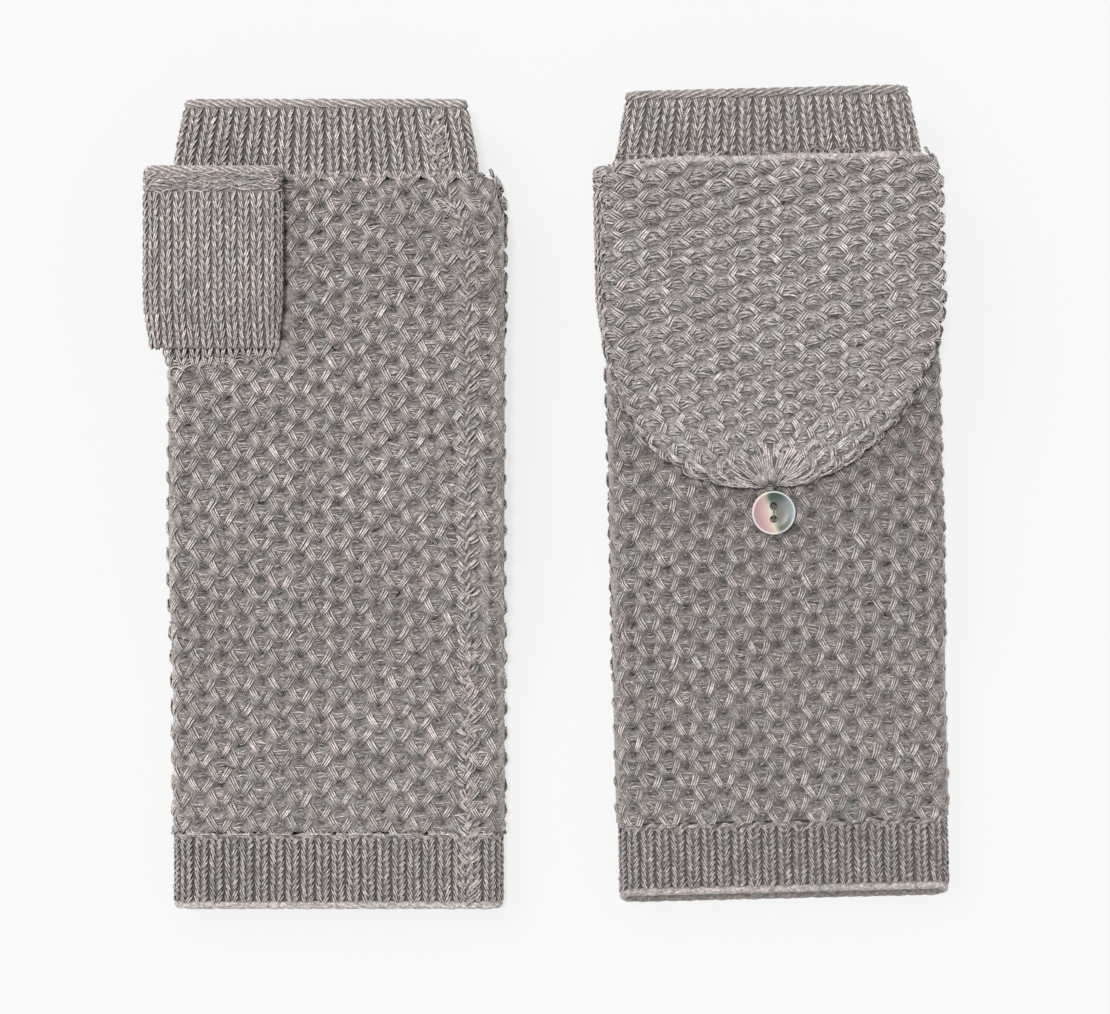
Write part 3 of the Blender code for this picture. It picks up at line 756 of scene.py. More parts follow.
def pearl():
    """Smoky shell: pink, straw, olive and blue-grey across the disc, deep green above the holes,
    and a thin painted highlight just inside the rim."""
    tree = Tree("smoky_shell", {
        "Roughness": 0.42, "Specular IOR Level": 0.35, "Coat Weight": 0.12, "Coat Roughness": 0.2})
    place = tree.add("Attribute", "Vector", attribute_name="yarn")
    across = tree.math("MULTIPLY_ADD", tree.add("SeparateXYZ", "X", {"Vector": place}), 0.080, 0.43)
    across = tree.math("MULTIPLY_ADD", tree.add("SeparateXYZ", "Y", {"Vector": place}), 0.020, across)
    across = tree.math("MULTIPLY_ADD", tree.noise(place, 0.28, 4.0, distortion=1.2), 0.16, across)
    colour = tree.ramp(across, (
        (0.00, (0.36, 0.25, 0.25)), (0.22, (0.46, 0.29, 0.30)), (0.36, (0.52, 0.38, 0.32)),
        (0.45, (0.54, 0.52, 0.38)), (0.52, (0.24, 0.26, 0.18)), (0.60, (0.085, 0.09, 0.070)),
        (0.78, (0.125, 0.135, 0.120)), (0.92, (0.22, 0.26, 0.28)), (1.00, (0.27, 0.30, 0.31))))
    apart = tree.vector("DISTANCE", "Value", place, (0.3, 4.6, 1.0))
    cloud = tree.remap(apart, 1.2, 3.6, 0.9, 0.0, interpolation_type="SMOOTHSTEP")
    colour = tree.mix(cloud, colour, (0.035, 0.07, 0.052, 1.0))
    flat = tree.vector("MULTIPLY", "Vector", place, (1.0, 1.0, 0.0))
    part = tree.math("DIVIDE", tree.vector("LENGTH", "Value", flat), BUTTON_RADIUS)
    dark, rim_highlight = (0.0, 0.0, 0.0), (0.85, 0.85, 0.85)
    # Painted highlight: a thin light line just inside the rim, where light catches its edge.
    rim = tree.ramp(part, ((0.895, dark), (0.925, rim_highlight), (0.955, rim_highlight), (0.985, dark)))
    colour = tree.mix(rim, colour, (0.74, 0.73, 0.69, 1.0))
    tree.fill(tree.shader, {"Base Color": colour})
    return tree.material


# ---- The hand ----


def hand_surface(mitten, face):
    return tube_surface(mitten, face, hand_half_width, BODY_FLAT, BODY_SIDE)


def make_tube_base(mitten, finish):
    knit = Knit()
    step = 1.45
    around = int(round((BODY_FLAT + BODY_SIDE) * 2 / step))
    s = np.linspace(-(BODY_FLAT + BODY_SIDE), BODY_FLAT + BODY_SIDE, around, endpoint=False)
    ys = np.linspace(TUBE_Y[0], TUBE_Y[1], 151)
    grids = {}
    for inset_name in ("outer", "inner"):
        halves = []
        for face, across in ((1, s), (-1, -s)):
            surface = hand_surface(mitten, face)
            a, b = np.meshgrid(across, ys, indexing="xy")
            if inset_name == "outer":
                pit = pits(a, b, BODY_CELL[mitten["side"]], BODY_PHASE[face], (0.0, -1.1), (1.9, 1.25))
                edge = smooth(np.abs(a), 45.5, 49.5)
                height = -0.80 + 0.32 * edge - 0.90 * pit * (1.0 - 0.6 * edge)
                # Painted shade: the base cloth is toned darker than the stitches over it, and darker still
                # in the pit beside each stitch; it is lighter towards the folded sides.
                tone = 0.76 + 0.14 * edge - 0.64 * pit * (1.0 - 0.7 * edge)
            else:
                height = np.full_like(a, TUBE_INNER)
                tone = np.full_like(a, INNER_TONE)
            points, _ = lift_off(surface, a, b, height)
            halves.append((points, tone))
        grids[inset_name] = (
            np.concatenate([halves[0][0], halves[1][0]], axis=1),
            np.concatenate([halves[0][1], halves[1][1]], axis=1),
        )
    outer, tone_outer = grids["outer"]
    inner, tone_inner = grids["inner"]
    # The way into the thumb, through the palm layer
    u = outer[..., 0]
    low_side = np.arange(outer.shape[1]) >= around
    row0 = int(np.searchsorted(ys, THUMB_HOLE_Y[0]))
    row1 = int(np.searchsorted(ys, THUMB_HOLE_Y[1]))
    end = mitten["thumb_edge"] + THUMB_WIDTH - 4.0
    hit = np.where(low_side & (u[row0] > -43.0) & (u[row0] < end))[0]
    hole = (row0, row1, int(hit.min()), int(hit.max()))
    knit.shell(outer, inner, tone_outer, tone_inner, cyclic=True, hole=hole)
    return knit.make(mitten, "tube_cloth", finish)


def thumb_base(mitten, u):
    """Where the thumb's stitches begin on the palm: lower at its outer side."""
    return 39.7 + 4.6 * np.clip((u - mitten["thumb_edge"]) / THUMB_WIDTH, 0.0, 1.0)


def make_tube_stitches(mitten, finish):
    pieces = []
    for face, label in ((1, "back"), (-1, "palm")):
        rng = np.random.default_rng(11 if face > 0 else 12)
        knit = Knit()
        surface = hand_surface(mitten, face)
        reach = BODY_FLAT + BODY_SIDE
        cell = BODY_CELL[mitten["side"]]
        places = lattice((-reach, reach - 0.1), (TUBE_Y[0] - 3.6, TUBE_Y[1] - 2.2), cell, BODY_PHASE[face])
        if face < 0:
            end = mitten["thumb_edge"] + THUMB_WIDTH
            in_thumb = (places[:, 1] > thumb_base(mitten, places[:, 0]) - 2.2) & (places[:, 0] < end + 0.5)
            in_hole = in_thumb & (places[:, 1] < 60.0) & (places[:, 0] > -46.0)
            places = places[~in_hole]
            near_seam = np.abs(places[:, 0] - seam_at(places[:, 1])) < 2.2
            places = places[~near_seam]
        seen = (face < 0) == mitten["palm_up"]
        honeycomb(knit, surface, places, mitten["side"], rng, plies=3 if seen else 2, fill=8 if seen else 4)
        pieces.append(knit.make(mitten, f"{label}_stitches", finish))
    return pieces


def make_rib(mitten, name, half_width, y_range, flat_s, count, row, shift, node, finish, seed, legs, tone):
    rng = np.random.default_rng(seed)
    knit = Knit()
    reach = flat_s + RIB_SIDE
    pitch = 2.0 * reach / count
    rows = np.arange(y_range[0] + 0.9, y_range[1] - 0.4, row)
    columns = (np.arange(count) + 0.5) * pitch - reach
    s = np.linspace(-reach, reach, count * 4, endpoint=False)
    ys = np.linspace(y_range[0], y_range[1], 11)
    outers, inners, tones = [], [], []
    for face, across in ((1, s), (-1, -s)):
        surface = tube_surface(mitten, face, half_width, flat_s, RIB_SIDE, RIB_INSET, shift)
        rib_columns(knit, surface, columns, rows, legs, rng, tone)
        a, b = np.meshgrid(across, ys, indexing="xy")
        groove = 0.5 - 0.5 * np.cos(2.0 * math.pi * (a - columns[0]) / pitch)
        outers.append(lift_off(surface, a, b, -0.62 - 0.62 * groove)[0])
        # Painted shade: the cloth under the columns is toned darker, most in the grooves between them.
        tones.append(tone * (0.64 - 0.24 * groove))
        inners.append(lift_off(surface, a, b, np.full_like(a, RIB_INNER))[0])
    knit.shell(np.concatenate(outers, axis=1), np.concatenate(inners, axis=1),
               np.concatenate(tones, axis=1), 0.6, cyclic=True)
    return knit.make(mitten, name, finish, (node,))


def make_hand(mitten, finishes):
    side = mitten["side"]
    body, rib = finishes["body"], finishes["rib"]
    base = make_tube_base(mitten, body)
    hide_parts(f"{side}_hand_tube")
    pieces = [base] + make_tube_stitches(mitten, body)
    pieces.append(make_rib(
        mitten, "wrist_rib_knit", wrist_half_width, (-114.9, -95.5), WRIST_FLAT, WRIST_COLUMNS,
        WRIST_ROW, 0.0, "wrist_rib", rib, 21, WRIST_LEGS, WRIST_TONE[side]))
    pieces.append(make_rib(
        mitten, "finger_rib_knit", finger_half_width, (94.4, 114.9), FINGER_FLAT, FINGER_COLUMNS,
        FINGER_ROW, mitten["rib_shift"], "finger_rib", rib, 22, FINGER_LEGS, FINGER_TONE))
    rows = (
        ("wrist_cast_on_yarn", "wrist_cast_on", -115.9, wrist_half_width, 1.2, 1.15, 0.0, 31),
        ("wrist_link_yarn", "wrist_link_row", -95.9, wrist_half_width, 0.8, 0.0, 0.0, 32),
        ("finger_link_yarn", "finger_link_row", 95.0, finger_half_width, 0.9, 0.0, 0.5, 33),
        ("finger_bind_off_yarn", "finger_bind_off", 115.7, finger_half_width, 1.3, 1.3, 1.0, 34),
    )
    for name, node, y, half_width, inset, soft, part, seed in rows:
        rng = np.random.default_rng(seed)
        knit = Knit()
        shift = mitten["rib_shift"] * part
        points, normals = ring_path(mitten, half_width, y, inset, shift)
        if soft:
            soft_edge(knit, points, normals, soft, 5, 15.0, 1.0, rng, chain=node == "finger_bind_off")
        else:
            span = np.linspace(0.0, 1.0, len(points))
            points[:, 1] += (
                0.45 * np.sin(2.0 * math.pi * 38.0 * span) + 0.3 * np.sin(2.0 * math.pi * 17.0 * span))
            # The third, thicker cord lies under the other two and is toned darker: painted shade between
            # them.
            for apart, thick, lay, tone, flat in (
                (0.72, 0.33, 6.6, 1.0, 0.45), (0.55, 0.33, 9.3, 0.9, 0.45), (0.45, 0.7, 9.0, 0.62, 0.3),
            ):
                twisted(knit, points, normals, apart, thick, lay, 2, tone, rng, flat=flat)
        pieces.append(knit.make(mitten, name, body, (node,)))
    pieces.append(make_side_seam(mitten, body))
    for piece in pieces:
        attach(piece, f"{side}_hand")


def make_side_seam(mitten, finish):
    """The linked seam: slanting stitches drawn over a raised ridge."""
    rng = np.random.default_rng(41)
    knit = Knit()
    surface = hand_surface(mitten, -1)
    ys = np.arange(-113.5, 113.5, 3.7)
    places = np.stack([seam_at(ys), ys], axis=1)
    lines = arms(places, SEAM_LEG, SEAM_LEG, 3, 0.62, SEAM_HEIGHTS, rng, wobble=0.4, bow=0.3)
    sew(knit, surface, lines, 0.36, 0.86, rng, spread=0.14, plies=3)
    y = np.arange(-116.0, 116.0, 2.0)
    core, normals = lift_off(surface, seam_at(y), y, np.full_like(y, -0.55))
    # The twisted core under the stitches is toned darker: painted shade.
    twisted(knit, core, normals, 0.5, 0.6, 6.0, 2, 0.7, rng)
    return knit.make(mitten, "side_seam_yarn", finish, ("side_seam",))


# ---- The thumb ----


def make_thumb(mitten, finishes):
    side = mitten["side"]
    rng = np.random.default_rng(51)
    knit = Knit()
    reach = THUMB_FLAT + THUMB_SIDE
    pitch = 2.0 * reach / THUMB_COLUMNS
    columns = (np.arange(THUMB_COLUMNS) + 0.5) * pitch - reach
    rows = np.arange(46.6, 89.4, THUMB_ROW)
    s = np.linspace(-reach, reach, THUMB_COLUMNS * 4, endpoint=False)
    ys = np.linspace(45.2, 94.8, 27)
    outers, inners, tones = [], [], []
    for face, across in ((-1, s), (1, -s)):
        surface = thumb_surface(mitten, face)
        grid_s, grid_y = np.meshgrid(columns, rows, indexing="ij")
        places = np.stack([grid_s.ravel(), grid_y.ravel()], axis=1)
        lines = arms(places, THUMB_LEG, THUMB_LEG, 2, 0.52, THUMB_HEIGHTS, rng, wobble=0.10, bow=0.08)
        sew(knit, surface, lines, 0.31, 1.06, rng, spread=0.10, plies=2, ridge=(0.20, 1.62))
        a, b = np.meshgrid(across, ys, indexing="xy")
        groove = 0.5 - 0.5 * np.cos(2.0 * math.pi * (a - columns[0]) / pitch)
        rolled = smooth(b, 89.0, 91.0)
        outers.append(lift_off(surface, a, b, -0.60 - 0.30 * groove + 0.25 * rolled)[0])
        # Painted shade: the cloth under the stitches is toned darker, most in the grooves; it is lighter
        # where it rolls up towards the edge.
        tones.append(0.62 - 0.12 * groove + 0.20 * rolled)
        inners.append(lift_off(surface, a, b, np.full_like(a, THUMB_INNER))[0])
    # Round the tube: the face away from the palm, then the face towards it
    outer, inner, tone = (np.concatenate(part, axis=1)[:, ::-1] for part in (outers, inners, tones))
    knit.shell(outer, inner, tone, 0.6, cyclic=True)
    # Loose strands across the tube where the cloth rolls over towards its edge
    for face in (-1, 1):
        s, y = np.meshgrid(np.arange(-reach, reach, 2.3), np.arange(89.9, 94.6, 0.72))
        places = np.stack([s.ravel(), y.ravel()], axis=1) + rng.normal(0.0, 0.45, (s.size, 2))
        lines = wisps(places, 1.9, 0.30, -0.55, 0.02, rng)
        sew(knit, thumb_surface(mitten, face), lines, 0.34, 1.04, rng, spread=0.16, ridge=(0.34, 1.4))
    tube = knit.make(mitten, "thumb_knit", finishes["thumb"], ("thumb_tube",))

    rim = Knit()
    ring, ring_n = thumb_ring(mitten, 95.5, 1.35)
    soft_edge(rim, ring, ring_n, 1.4, 6, 17.0, 1.02, rng, wave=(3.9, 0.08), chain=True)
    rim_piece = rim.make(mitten, "thumb_rim_yarn", finishes["thumb"], ("thumb_rim",))
    for piece in (tube, rim_piece):
        cross_thumb(piece)

    seam = Knit()
    surface = hand_surface(mitten, -1)
    middle = mitten["thumb_edge"] + THUMB_WIDTH / 2.0
    # The thumb's first rows, where it rises off the palm
    for y, height in ((44.3, 1.75), (42.0, 1.15), (39.7, 0.5)):
        places = np.stack([middle + columns, np.full_like(columns, y)], axis=1)
        inside = (np.abs(columns) < THUMB_FLAT + 1.5) & (places[:, 0] > -48.0)
        places = places[inside & (y > thumb_base(mitten, places[:, 0]) - 0.6)]
        if len(places):
            lines = arms(places, THUMB_LEG, THUMB_LEG, 2, 0.52, THUMB_HEIGHTS + height, rng,
                         wobble=0.10, bow=0.08)
            sew(seam, surface, lines, 0.31, 1.0, rng, spread=0.10, plies=2, ridge=(0.20, 1.62))
    # Arcs of yarn that link it to the palm
    start, end = max(mitten["thumb_edge"] + 1.5, -48.0), mitten["thumb_edge"] + THUMB_WIDTH
    centres = np.arange(start + 2.0, end + 1.0, 4.6)
    places = np.stack([centres, thumb_base(mitten, centres) - 1.6], axis=1)
    t = np.linspace(-1.0, 1.0, 7)
    for ply in range(3):
        line = np.empty((len(places), 7, 3))
        line[..., 0] = places[:, :1] + 2.9 * t[None, :]
        line[..., 1] = places[:, 1:] + (1.7 + 0.5 * ply) * (1.0 - t**2)[None, :] - 0.9 + 0.4 * ply
        line[..., 1] += 0.12 * 2.9 * t[None, :]
        line[..., 2] = 0.55 - 1.0 * (t**2)[None, :]
        sew(seam, surface, line, 0.34, 1.05, rng)
    piece = seam.make(mitten, "thumb_seam_yarn", finishes["body"], ("thumb_seam",))
    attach(piece, f"{side}_hand")


def thumb_ring(mitten, y, inset):
    reach = THUMB_FLAT + THUMB_SIDE
    s = np.linspace(-reach, reach, 90, endpoint=False)
    ys = np.full(90, float(y))
    zero = np.zeros(90)
    out, out_n = lift_off(thumb_surface(mitten, -1, inset), s, ys, zero)
    near, near_n = lift_off(thumb_surface(mitten, 1, inset), -s, ys, zero)
    points = np.concatenate([out, near])
    normals = np.concatenate([out_n, near_n])
    return np.concatenate([points, points[:1]]), np.concatenate([normals, normals[:1]])


def cross_thumb(piece):
    """Bakes the piece's placement into its mesh."""
    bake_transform(piece)


# ---- The hood ----


def hood_width(b, sign):
    """Half width of the hood's outline at b, on one side of the tip."""
    depth = HOOD_STRAIGHT - HOOD_TIP[1]
    power = HOOD_FULL[0] if sign < 0 else HOOD_FULL[1]
    reach = HOOD_HALF - sign * HOOD_TIP[0]
    t = np.clip((HOOD_STRAIGHT - b) / depth, 0.0, 0.9995)
    return reach * (1.0 - t**power) ** (1.0 / power)


def drawn(c, b):
    """Lattice columns run straight down the hood, then draw together towards the tip."""
    side = np.where(c < HOOD_TIP[0], -1.0, 1.0)
    narrow = np.where(
        side < 0.0,
        hood_width(b, -1) / hood_width(HOOD_DRAWN_FROM, -1),
        hood_width(b, 1) / hood_width(HOOD_DRAWN_FROM, 1),
    )
    narrow = np.where(b < HOOD_DRAWN_FROM, narrow, 1.0)
    return HOOD_TIP[0] + (c - HOOD_TIP[0]) * narrow**0.75


def hood_room(a, b):
    """How far a developed point is inside the end of the wrapped surface, in mm."""
    du, dy = a - HOOD_TIP[0], np.minimum(b - HOOD_STRAIGHT, 0.0)
    return hood_limit(du, dy) - HOOD_ROUND + HOOD_QUARTER - np.hypot(du, dy)


def make_hood(mitten, finishes):
    side = mitten["side"]
    finish = finishes["hood"]
    pieces = []
    for face, label in ((1, "palm"), (-1, "back")):
        rng = np.random.default_rng(61 if face > 0 else 62)
        knit = Knit()
        surface = hood_surface(face)
        places = lattice((-70.0, 70.0), (-8.0, MOUTH_Y + 2.4), HOOD_CELL, HOOD_PHASE)
        a = drawn(places[:, 0], places[:, 1])
        tip = np.hypot(a - HOOD_TIP[0], places[:, 1] - HOOD_TIP[1])
        places = places[(hood_room(a, places[:, 1]) > 0.6) & (tip > 10.5) & (places[:, 1] > 3.0)]
        inside = [(-1.2, 1.5, 0.3), (-2.2, 2.5, 0.5), (-3.2, 2.6, 0.65)]
        bundles = arms(places, *HOOD_ARMS, 3, 0.64, ARM_HEIGHTS + 0.05, rng, wobble=0.2)
        fill = puffs(places, inside, FILL_HEIGHTS + 0.1, rng)
        soft = fuzz(places, 5 if face > 0 else 3, rng, sign=-0.85)
        soft[..., 2] += 0.15
        for lines in (bundles, fill, soft):
            lines[..., 0] = drawn(lines[..., 0], lines[..., 1])
        sew(knit, surface, bundles, 0.33, 1.06, rng, spread=0.11, plies=3)
        # The filling and fuzz are toned darker than the bundles, and the low haze between the stitches
        # darker still: painted shade down inside the stitches.
        sew(knit, surface, fill, 0.40, 0.84, rng, spread=0.15, ridge=(0.50, 1.22))
        sew(knit, surface, soft, 0.32, 0.88, rng, spread=0.20, ridge=(0.40, 1.35))
        for _ in range(5 if face > 0 else 1):
            scatter = rng.uniform(-1.0, 1.0, places.shape) * np.array([5.2, 1.1])
            between = places + np.array([0.0, 1.7]) + scatter
            haze = wisps(between, 1.3, 0.55, -1.15, -0.70, rng)
            haze[..., 0] = drawn(haze[..., 0], haze[..., 1])
            haze = haze[hood_room(haze[..., 0], haze[..., 1]).min(axis=1) > 0.6]
            sew(knit, surface, haze, 0.32, 0.74, rng, spread=0.30, ridge=(0.30, 1.45))
        gather(knit, surface, rng)
        pieces.append(knit.make(mitten, f"hood_{label}_stitches", finish))
    pieces.append(make_hood_base(mitten, finish))
    edge = Knit()
    rng = np.random.default_rng(63)
    u = np.linspace(-45.6, 45.6, 95)
    z = STACK - 1.5 - 2.4 * (np.abs(u) / 45.6) ** 8
    line = np.stack([u, 95.6 + 0.25 * np.sin(u * 0.21) - 1.6 * (np.abs(u) / 45.6) ** 14, z], axis=1)
    up = np.tile(np.array([0.0, 0.3, 1.0]), (len(u), 1))
    soft_edge(edge, line, up, 1.15, 5, 16.0, 1.03, rng)
    pieces.append(edge.make(mitten, "hood_mouth_yarn", finish, ("hood_mouth_edge",)))
    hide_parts(f"{side}_hood_palm")
    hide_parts(f"{side}_hood_back")
    for piece in pieces:
        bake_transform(piece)

    hinge = Knit()
    u = np.linspace(-46.0, 44.0, 90)
    line = np.stack([u, np.full_like(u, HINGE_LOCAL[0]), np.full_like(u, HINGE_LOCAL[1])], axis=1)
    up = np.tile(np.array([0.0, 0.5, 1.0]), (len(u), 1))
    twisted(hinge, line, up, 0.5, 0.6, 6.0, 3, 0.9, rng)
    piece = hinge.make(mitten, "hood_hinge_yarn", finishes["body"], ("hood_hinge_seam",))
    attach(piece, f"{side}_hand")


def gather(knit, surface, rng):
    """Bundles drawn together into the hood's tip, in three rings."""
    t = np.linspace(0.0, 1.0, 5)
    for inner, outer, count in ((1.7, 6.4, 13), (5.4, 10.2, 15), (9.0, 13.0, 10)):
        middle = np.linspace(math.radians(9.0), math.radians(171.0), count)
        middle = middle + rng.normal(0.0, 0.09, count)
        shared = rng.normal(0.0, 0.12, (count, 1))
        for ply in (-1, 0, 1):
            radius = inner + (outer - inner) * t[None, :] + rng.normal(0.0, 0.7, (count, 1))
            radius = np.maximum(radius, 1.0)
            close = 0.45 + 0.55 * smooth(radius, 1.0, 9.0)
            angle = middle[:, None] + ply * 0.62 * close / radius
            lines = np.empty((count, 5, 3))
            lines[..., 0] = HOOD_TIP[0] + radius * np.cos(angle)
            lines[..., 1] = HOOD_TIP[1] + radius * np.sin(angle)
            lines[..., 2] = GATHER_HEIGHTS[None, :] + rng.normal(0.0, 0.10, (count, 1))
            points, normals = lift_off(surface, lines[..., 0], lines[..., 1], lines[..., 2])
            # Painted shade: the bundles are toned darker towards the tip, where they crowd together.
            tone = (0.55 + 0.45 * smooth(radius, 1.0, 5.0)) * (1.0 + shared)
            knit.strands(points, normals, 0.33 * close, tone, rng)


def make_hood_base(mitten, finish):
    """The closed pouch under the stitches, open at the mouth."""
    knit = Knit()
    sides = np.linspace(MOUTH_Y + 0.8, HOOD_STRAIGHT, 29)[:-1]
    angles = np.linspace(math.pi, 2.0 * math.pi, 97)
    rays = [(-1.0, 0.0, y) for y in sides]
    rays += [(math.cos(a), math.sin(a), HOOD_STRAIGHT) for a in angles]
    rays += [(1.0, 0.0, y) for y in sides[::-1]]
    rays = np.array(rays)
    du, dy, y0 = rays[:, 0], rays[:, 1], rays[:, 2]
    end = hood_limit(du, dy) - HOOD_ROUND + HOOD_QUARTER
    t = np.linspace(0.0, 1.0, 41)
    a = HOOD_TIP[0] + du[None, :] * end[None, :] * t[:, None]
    b = y0[None, :] + dy[None, :] * end[None, :] * t[:, None]
    grids = []
    for inset_height, relief in ((-0.95, True), (HOOD_INNER, False)):
        halves = []
        tones = []
        for face in (1, -1):
            surface = hood_surface(face)
            pit = np.zeros_like(a)
            if relief:
                pit = pits(a, b, HOOD_CELL, HOOD_PHASE, (0.0, 0.95), (2.3, 0.8))
            points, _ = lift_off(surface, a, b, inset_height - 0.75 * pit)
            halves.append(points)
            # Painted shade: the base cloth is toned darker than the stitches over it, darker in the pit
            # beside each stitch, and darker towards the drawn-in tip.
            near_tip = 1.0 - smooth(np.hypot(a - HOOD_TIP[0], b - HOOD_TIP[1]), 4.0, 18.0)
            tones.append((0.82 if relief else INNER_TONE) - 0.55 * pit * (1.0 - near_tip) - 0.35 * near_tip)
        # From the spine out over the top, round the edge, and back to the spine underneath
        grid = np.concatenate([halves[0], halves[1][::-1]], axis=0)
        tone = np.concatenate([tones[0], tones[1][::-1]], axis=0)
        grids.append((np.swapaxes(grid, 0, 1), tone.T))
    (outer, tone_outer), (inner, tone_inner) = grids
    knit.shell(outer, inner, tone_outer, tone_inner, walls=False)
    return knit.make(mitten, "hood_cloth", finish, weld=True)


# ---- Button, loop and tip ----


def disc_profile():
    """(radius, height) of the button from the middle of its top out, down and under."""
    top, low = BUTTON_HIGH, BUTTON_LOW
    return [
        (0.0, top - 0.42), (2.2, top - 0.42), (3.6, top - 0.38), (4.5, top - 0.28),
        (5.2, top - 0.10), (5.55, top), (5.9, top + 0.02), (6.15, top - 0.06),
        (6.3, top - 0.28), (6.35, top - 0.7), (6.2, top - 1.15), (5.8, low + 0.18),
        (5.0, low), (2.5, low), (0.0, low),
    ]


def ring_faces(rings, count):
    """Quads between rings of count points each."""
    return [
        (i * count + j, (i + 1) * count + j, (i + 1) * count + (j + 1) % count, i * count + (j + 1) % count)
        for i in range(rings - 1) for j in range(count)
    ]


def make_button(mitten, finishes):
    side = mitten["side"]
    sides = 72
    profile = np.array(disc_profile()[1:-1])
    angle = np.linspace(0.0, 2.0 * math.pi, sides, endpoint=False)
    ring = np.stack([np.cos(angle), np.sin(angle)], axis=1)
    points = np.concatenate([
        np.concatenate([profile[i, 0] * ring, np.full((sides, 1), profile[i, 1])], axis=1)
        for i in range(len(profile))
    ])
    cap_top = np.array([[0.0, 0.0, disc_profile()[0][1]]])
    cap_low = np.array([[0.0, 0.0, disc_profile()[-1][1]]])
    points = np.concatenate([points, cap_top, cap_low])
    faces = ring_faces(len(profile), sides)
    top, low, last = len(points) - 2, len(points) - 1, (len(profile) - 1) * sides
    for j in range(sides):
        k = (j + 1) % sides
        faces.append((top, j, k))
        faces.append((low, last + k, last + j))
    points[:, 0] += BUTTON_AT[0]
    points[:, 1] += BUTTON_AT[1]
    disc = plain_mesh(mitten, "button_disc", points, faces)
    for number, along in enumerate((-BUTTON_HOLES, BUTTON_HOLES)):
        flare = [(1.35, BUTTON_HIGH + 0.6), (1.22, BUTTON_HIGH - 0.36), (1.0, BUTTON_HIGH - 0.62),
                 (1.0, BUTTON_LOW - 1.0)]
        count = 28
        a = np.linspace(0.0, 2.0 * math.pi, count, endpoint=False)
        rows = [np.stack([r * np.cos(a) + BUTTON_AT[0], r * np.sin(a) + BUTTON_AT[1] + along,
                          np.full(count, z)], axis=1) for r, z in flare]
        cut_points = np.concatenate(rows)
        cut_faces = [tuple(range(count)), *ring_faces(len(flare), count)]
        cut_faces.append(tuple(reversed(range((len(flare) - 1) * count, len(flare) * count))))
        cutter = plain_mesh(mitten, f"hole_{number}", cut_points, cut_faces)
        boolean = disc.modifiers.new("hole", "BOOLEAN")
        boolean.operation = "DIFFERENCE"
        boolean.object = cutter
        graph = bpy.context.evaluated_depsgraph_get()
        mesh = bpy.data.meshes.new_from_object(disc.evaluated_get(graph))
        disc.modifiers.clear()
        disc.data = mesh
        bpy.data.objects.remove(cutter)
    mesh = disc.data
    mesh.name = f"{side}_button_disc"
    co = np.empty(len(mesh.vertices) * 3, np.float32)
    mesh.vertices.foreach_get("co", co)
    co = co.reshape(-1, 3) / MM
    here = to_world(mitten, np.array([BUTTON_AT[0], BUTTON_AT[1], (BUTTON_LOW + BUTTON_HIGH) / 2.0])) / MM
    yarn = mesh.attributes.new("yarn", "FLOAT_VECTOR", "POINT")
    yarn.data.foreach_set("vector", (co - here).astype(np.float32).ravel())
    mesh.materials.clear()
    mesh.materials.append(finishes["pearl"])
    mesh.shade_smooth()
    mesh.set_sharp_from_angle(angle=math.radians(38.0))
    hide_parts(f"{side}_button")

    rng = np.random.default_rng(71)
    thread = Knit()
    u, y = BUTTON_AT
    half = [
        (BUTTON_HOLES, BUTTON_LOW - 0.2), (BUTTON_HOLES, BUTTON_HIGH - 0.9),
        (BUTTON_HOLES - 0.25, BUTTON_HIGH - 0.38),
    ]
    path = [(u, y - out, z) for out, z in half] + [(u, y, BUTTON_HIGH - 0.22)]
    path = np.array(path + [(u, y + out, z) for out, z in half[::-1]])
    normal = np.tile(np.array([1.0, 0.02, 0.03]), (len(path), 1))
    twisted(thread, path, normal, 0.12, 0.14, 1.2, 2, 0.8, rng, step=0.3)
    sewn = thread.make(mitten, "button_thread_yarn", finishes["thread"], ("button_thread",))
    for piece in (disc, sewn):
        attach(piece, f"{side}_button")

    shank = Knit()
    turns = np.linspace(0.0, 2.0 * math.pi * 5.0, 90)
    path = np.stack([u + 0.72 * np.cos(turns), y + 0.72 * np.sin(turns),
                     BACK_TOP + 0.2 + 2.7 * np.linspace(0.0, 1.0, 90)], axis=1)
    out = np.stack([np.cos(turns), np.sin(turns), np.zeros_like(turns)], axis=1)
    line, normal, _ = resample(path, out, 0.35)
    shank.strands(line[None], normal[None], np.full((1, len(line)), 0.28), 0.9, rng)
    core = np.stack([np.full(6, u), np.full(6, y), np.linspace(BACK_TOP - 0.2, BACK_TOP + 3.15, 6)], axis=1)
    shank.strands(core[None], np.tile(np.array([1.0, 0.0, 0.0]), (1, 6, 1)), np.full((1, 6), 0.6), 0.8, rng)
    piece = shank.make(mitten, "button_shank_yarn", finishes["thread"], ("button_shank",))
    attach(piece, f"{side}_hand")

    loop = Knit()
    turn = np.linspace(0.0, -math.pi, 22)
    radius = 2.1
    height = HOOD_LOW + 1.2
    legs = np.linspace(HOOD_TIP[1] + 0.6, y, 8)[:-1]
    path = [(u + radius, v, height) for v in legs]
    path += [(u + radius * math.cos(a), y + radius * math.sin(a), height) for a in turn]
    path += [(u - radius, v, height) for v in legs[::-1]]
    path = np.array(path)
    up = np.tile(np.array([0.0, 0.0, 1.0]), (len(path), 1))
    twisted(loop, path, up, 0.30, 0.33, 2.6, 2, 0.95, rng, step=0.4)
    piece = loop.make(mitten, "button_loop_yarn", finishes["thread"], ("button_loop",))
    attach(piece, f"{side}_hood")

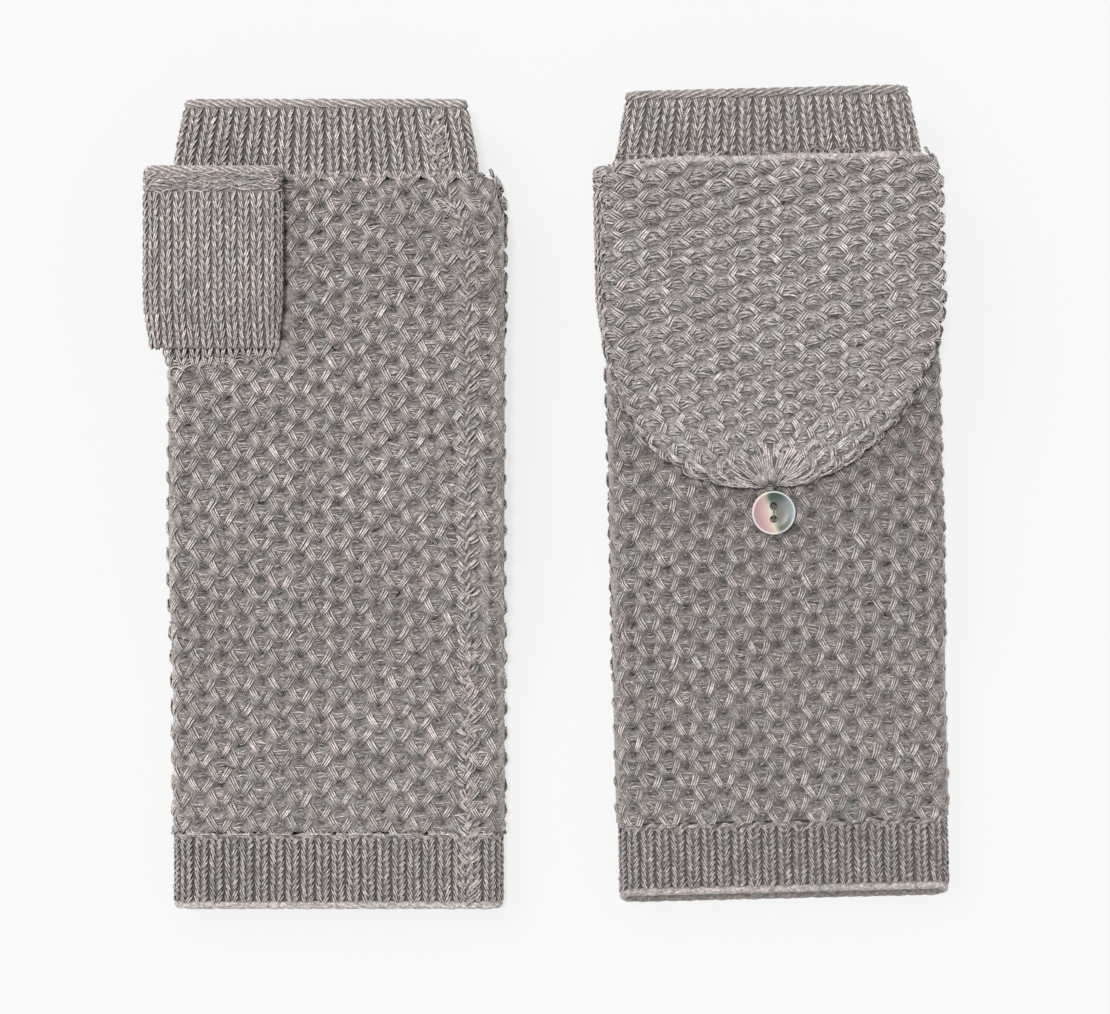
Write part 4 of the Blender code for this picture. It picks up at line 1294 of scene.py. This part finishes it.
    knot = Knit()
    for k in range(7):
        a = np.linspace(0.0, 2.0 * math.pi, 14)
        tilt = rng.uniform(-0.5, 0.5)
        size = rng.uniform(0.85, 1.15)
        path = np.stack([
            HOOD_TIP[0] + 0.9 * size * np.cos(a),
            HOOD_TIP[1] - 1.6 + 0.35 * k + 0.7 * size * np.sin(a) * tilt,
            HOOD_LOW + 1.5 + 0.9 * size * np.sin(a)], axis=1)
        out = np.stack([np.cos(a), np.zeros_like(a), np.sin(a)], axis=1)
        knot.strands(path[None], out[None], np.full((1, 14), 0.32), 0.7, rng)
    piece = knot.make(mitten, "hood_tip_knot", finishes["hood"], ("hood_tip_gather",))
    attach(piece, f"{side}_hood")


def plain_mesh(mitten, name, points, faces):
    mesh = bpy.data.meshes.new(name)
    world = to_world(mitten, points)
    if mitten["palm_up"]:
        faces = [tuple(reversed(f)) for f in faces]
    mesh.from_pydata(world.tolist(), [], faces)
    mesh.update()
    obj = bpy.data.objects.new(f"{mitten['side']}_{name}", mesh)
    bpy.context.scene.collection.objects.link(obj)
    return obj


# ---- Stage ----


def make_camera():
    data = bpy.data.cameras.new("camera")
    data.lens = CAMERA_LENS
    data.sensor_width = CAMERA_SENSOR
    camera = bpy.data.objects.new("camera", data)
    camera.location = CAMERA_AT
    bpy.context.scene.collection.objects.link(camera)
    bpy.context.scene.camera = camera


def sun(name, towards, spread, strength):
    """A soft distant light, in the direction towards."""
    data = bpy.data.lights.new(name, "SUN")
    data.angle = math.radians(spread)
    data.energy = strength
    light = bpy.data.objects.new(name, data)
    light.rotation_mode = "QUATERNION"
    light.rotation_quaternion = Vector(towards).to_track_quat("Z", "Y")
    bpy.context.scene.collection.objects.link(light)


def make_stage():
    scene = bpy.context.scene
    scene.view_settings.view_transform = "Standard"
    world = bpy.data.worlds.new("studio")
    scene.world = world
    world.use_nodes = True
    background = world.node_tree.nodes["Background"]
    background.inputs["Color"].default_value = (1.0, 1.0, 1.0, 1.0)
    background.inputs["Strength"].default_value = WORLD_STRENGTH
    for light in SUNS:
        sun(*light)

    mesh = bpy.data.meshes.new("floor")
    corners = [(x * FLOOR_HALF, y * FLOOR_HALF, 0) for x, y in ((-1, -1), (1, -1), (1, 1), (-1, 1))]
    mesh.from_pydata(corners, [], [(0, 1, 2, 3)])
    floor = bpy.data.objects.new("floor", mesh)
    scene.collection.objects.link(floor)
    paper = Tree("paper", {
        "Roughness": 0.9, "Specular IOR Level": 0.1,
        "Base Color": (FLOOR_GREY, FLOOR_GREY, FLOOR_GREY, 1.0),
        "Emission Color": (1.0, 1.0, 1.0, 1.0), "Emission Strength": FLOOR_GLOW})
    mesh.materials.append(paper.material)


make_camera()
make_stage()
shared = {
    "hood": wool("wool_hood", WOOL_HOOD, sheen=0.45),
    "rib": wool("wool_rib", WOOL_RIB, sheen=0.3),
    "thumb": wool("wool_thumb", WOOL_THUMB, sheen=0.35),
    "thread": wool("thread", THREAD, sheen=0.1),
    "pearl": pearl(),
}
for mitten_data in find_mittens():
    looks = dict(shared)
    looks["body"] = wool(f"wool_body_{mitten_data['side']}", WOOL_BODY[mitten_data["side"]])
    make_hand(mitten_data, looks)
    make_thumb(mitten_data, looks)
    make_hood(mitten_data, looks)
    make_button(mitten_data, looks)
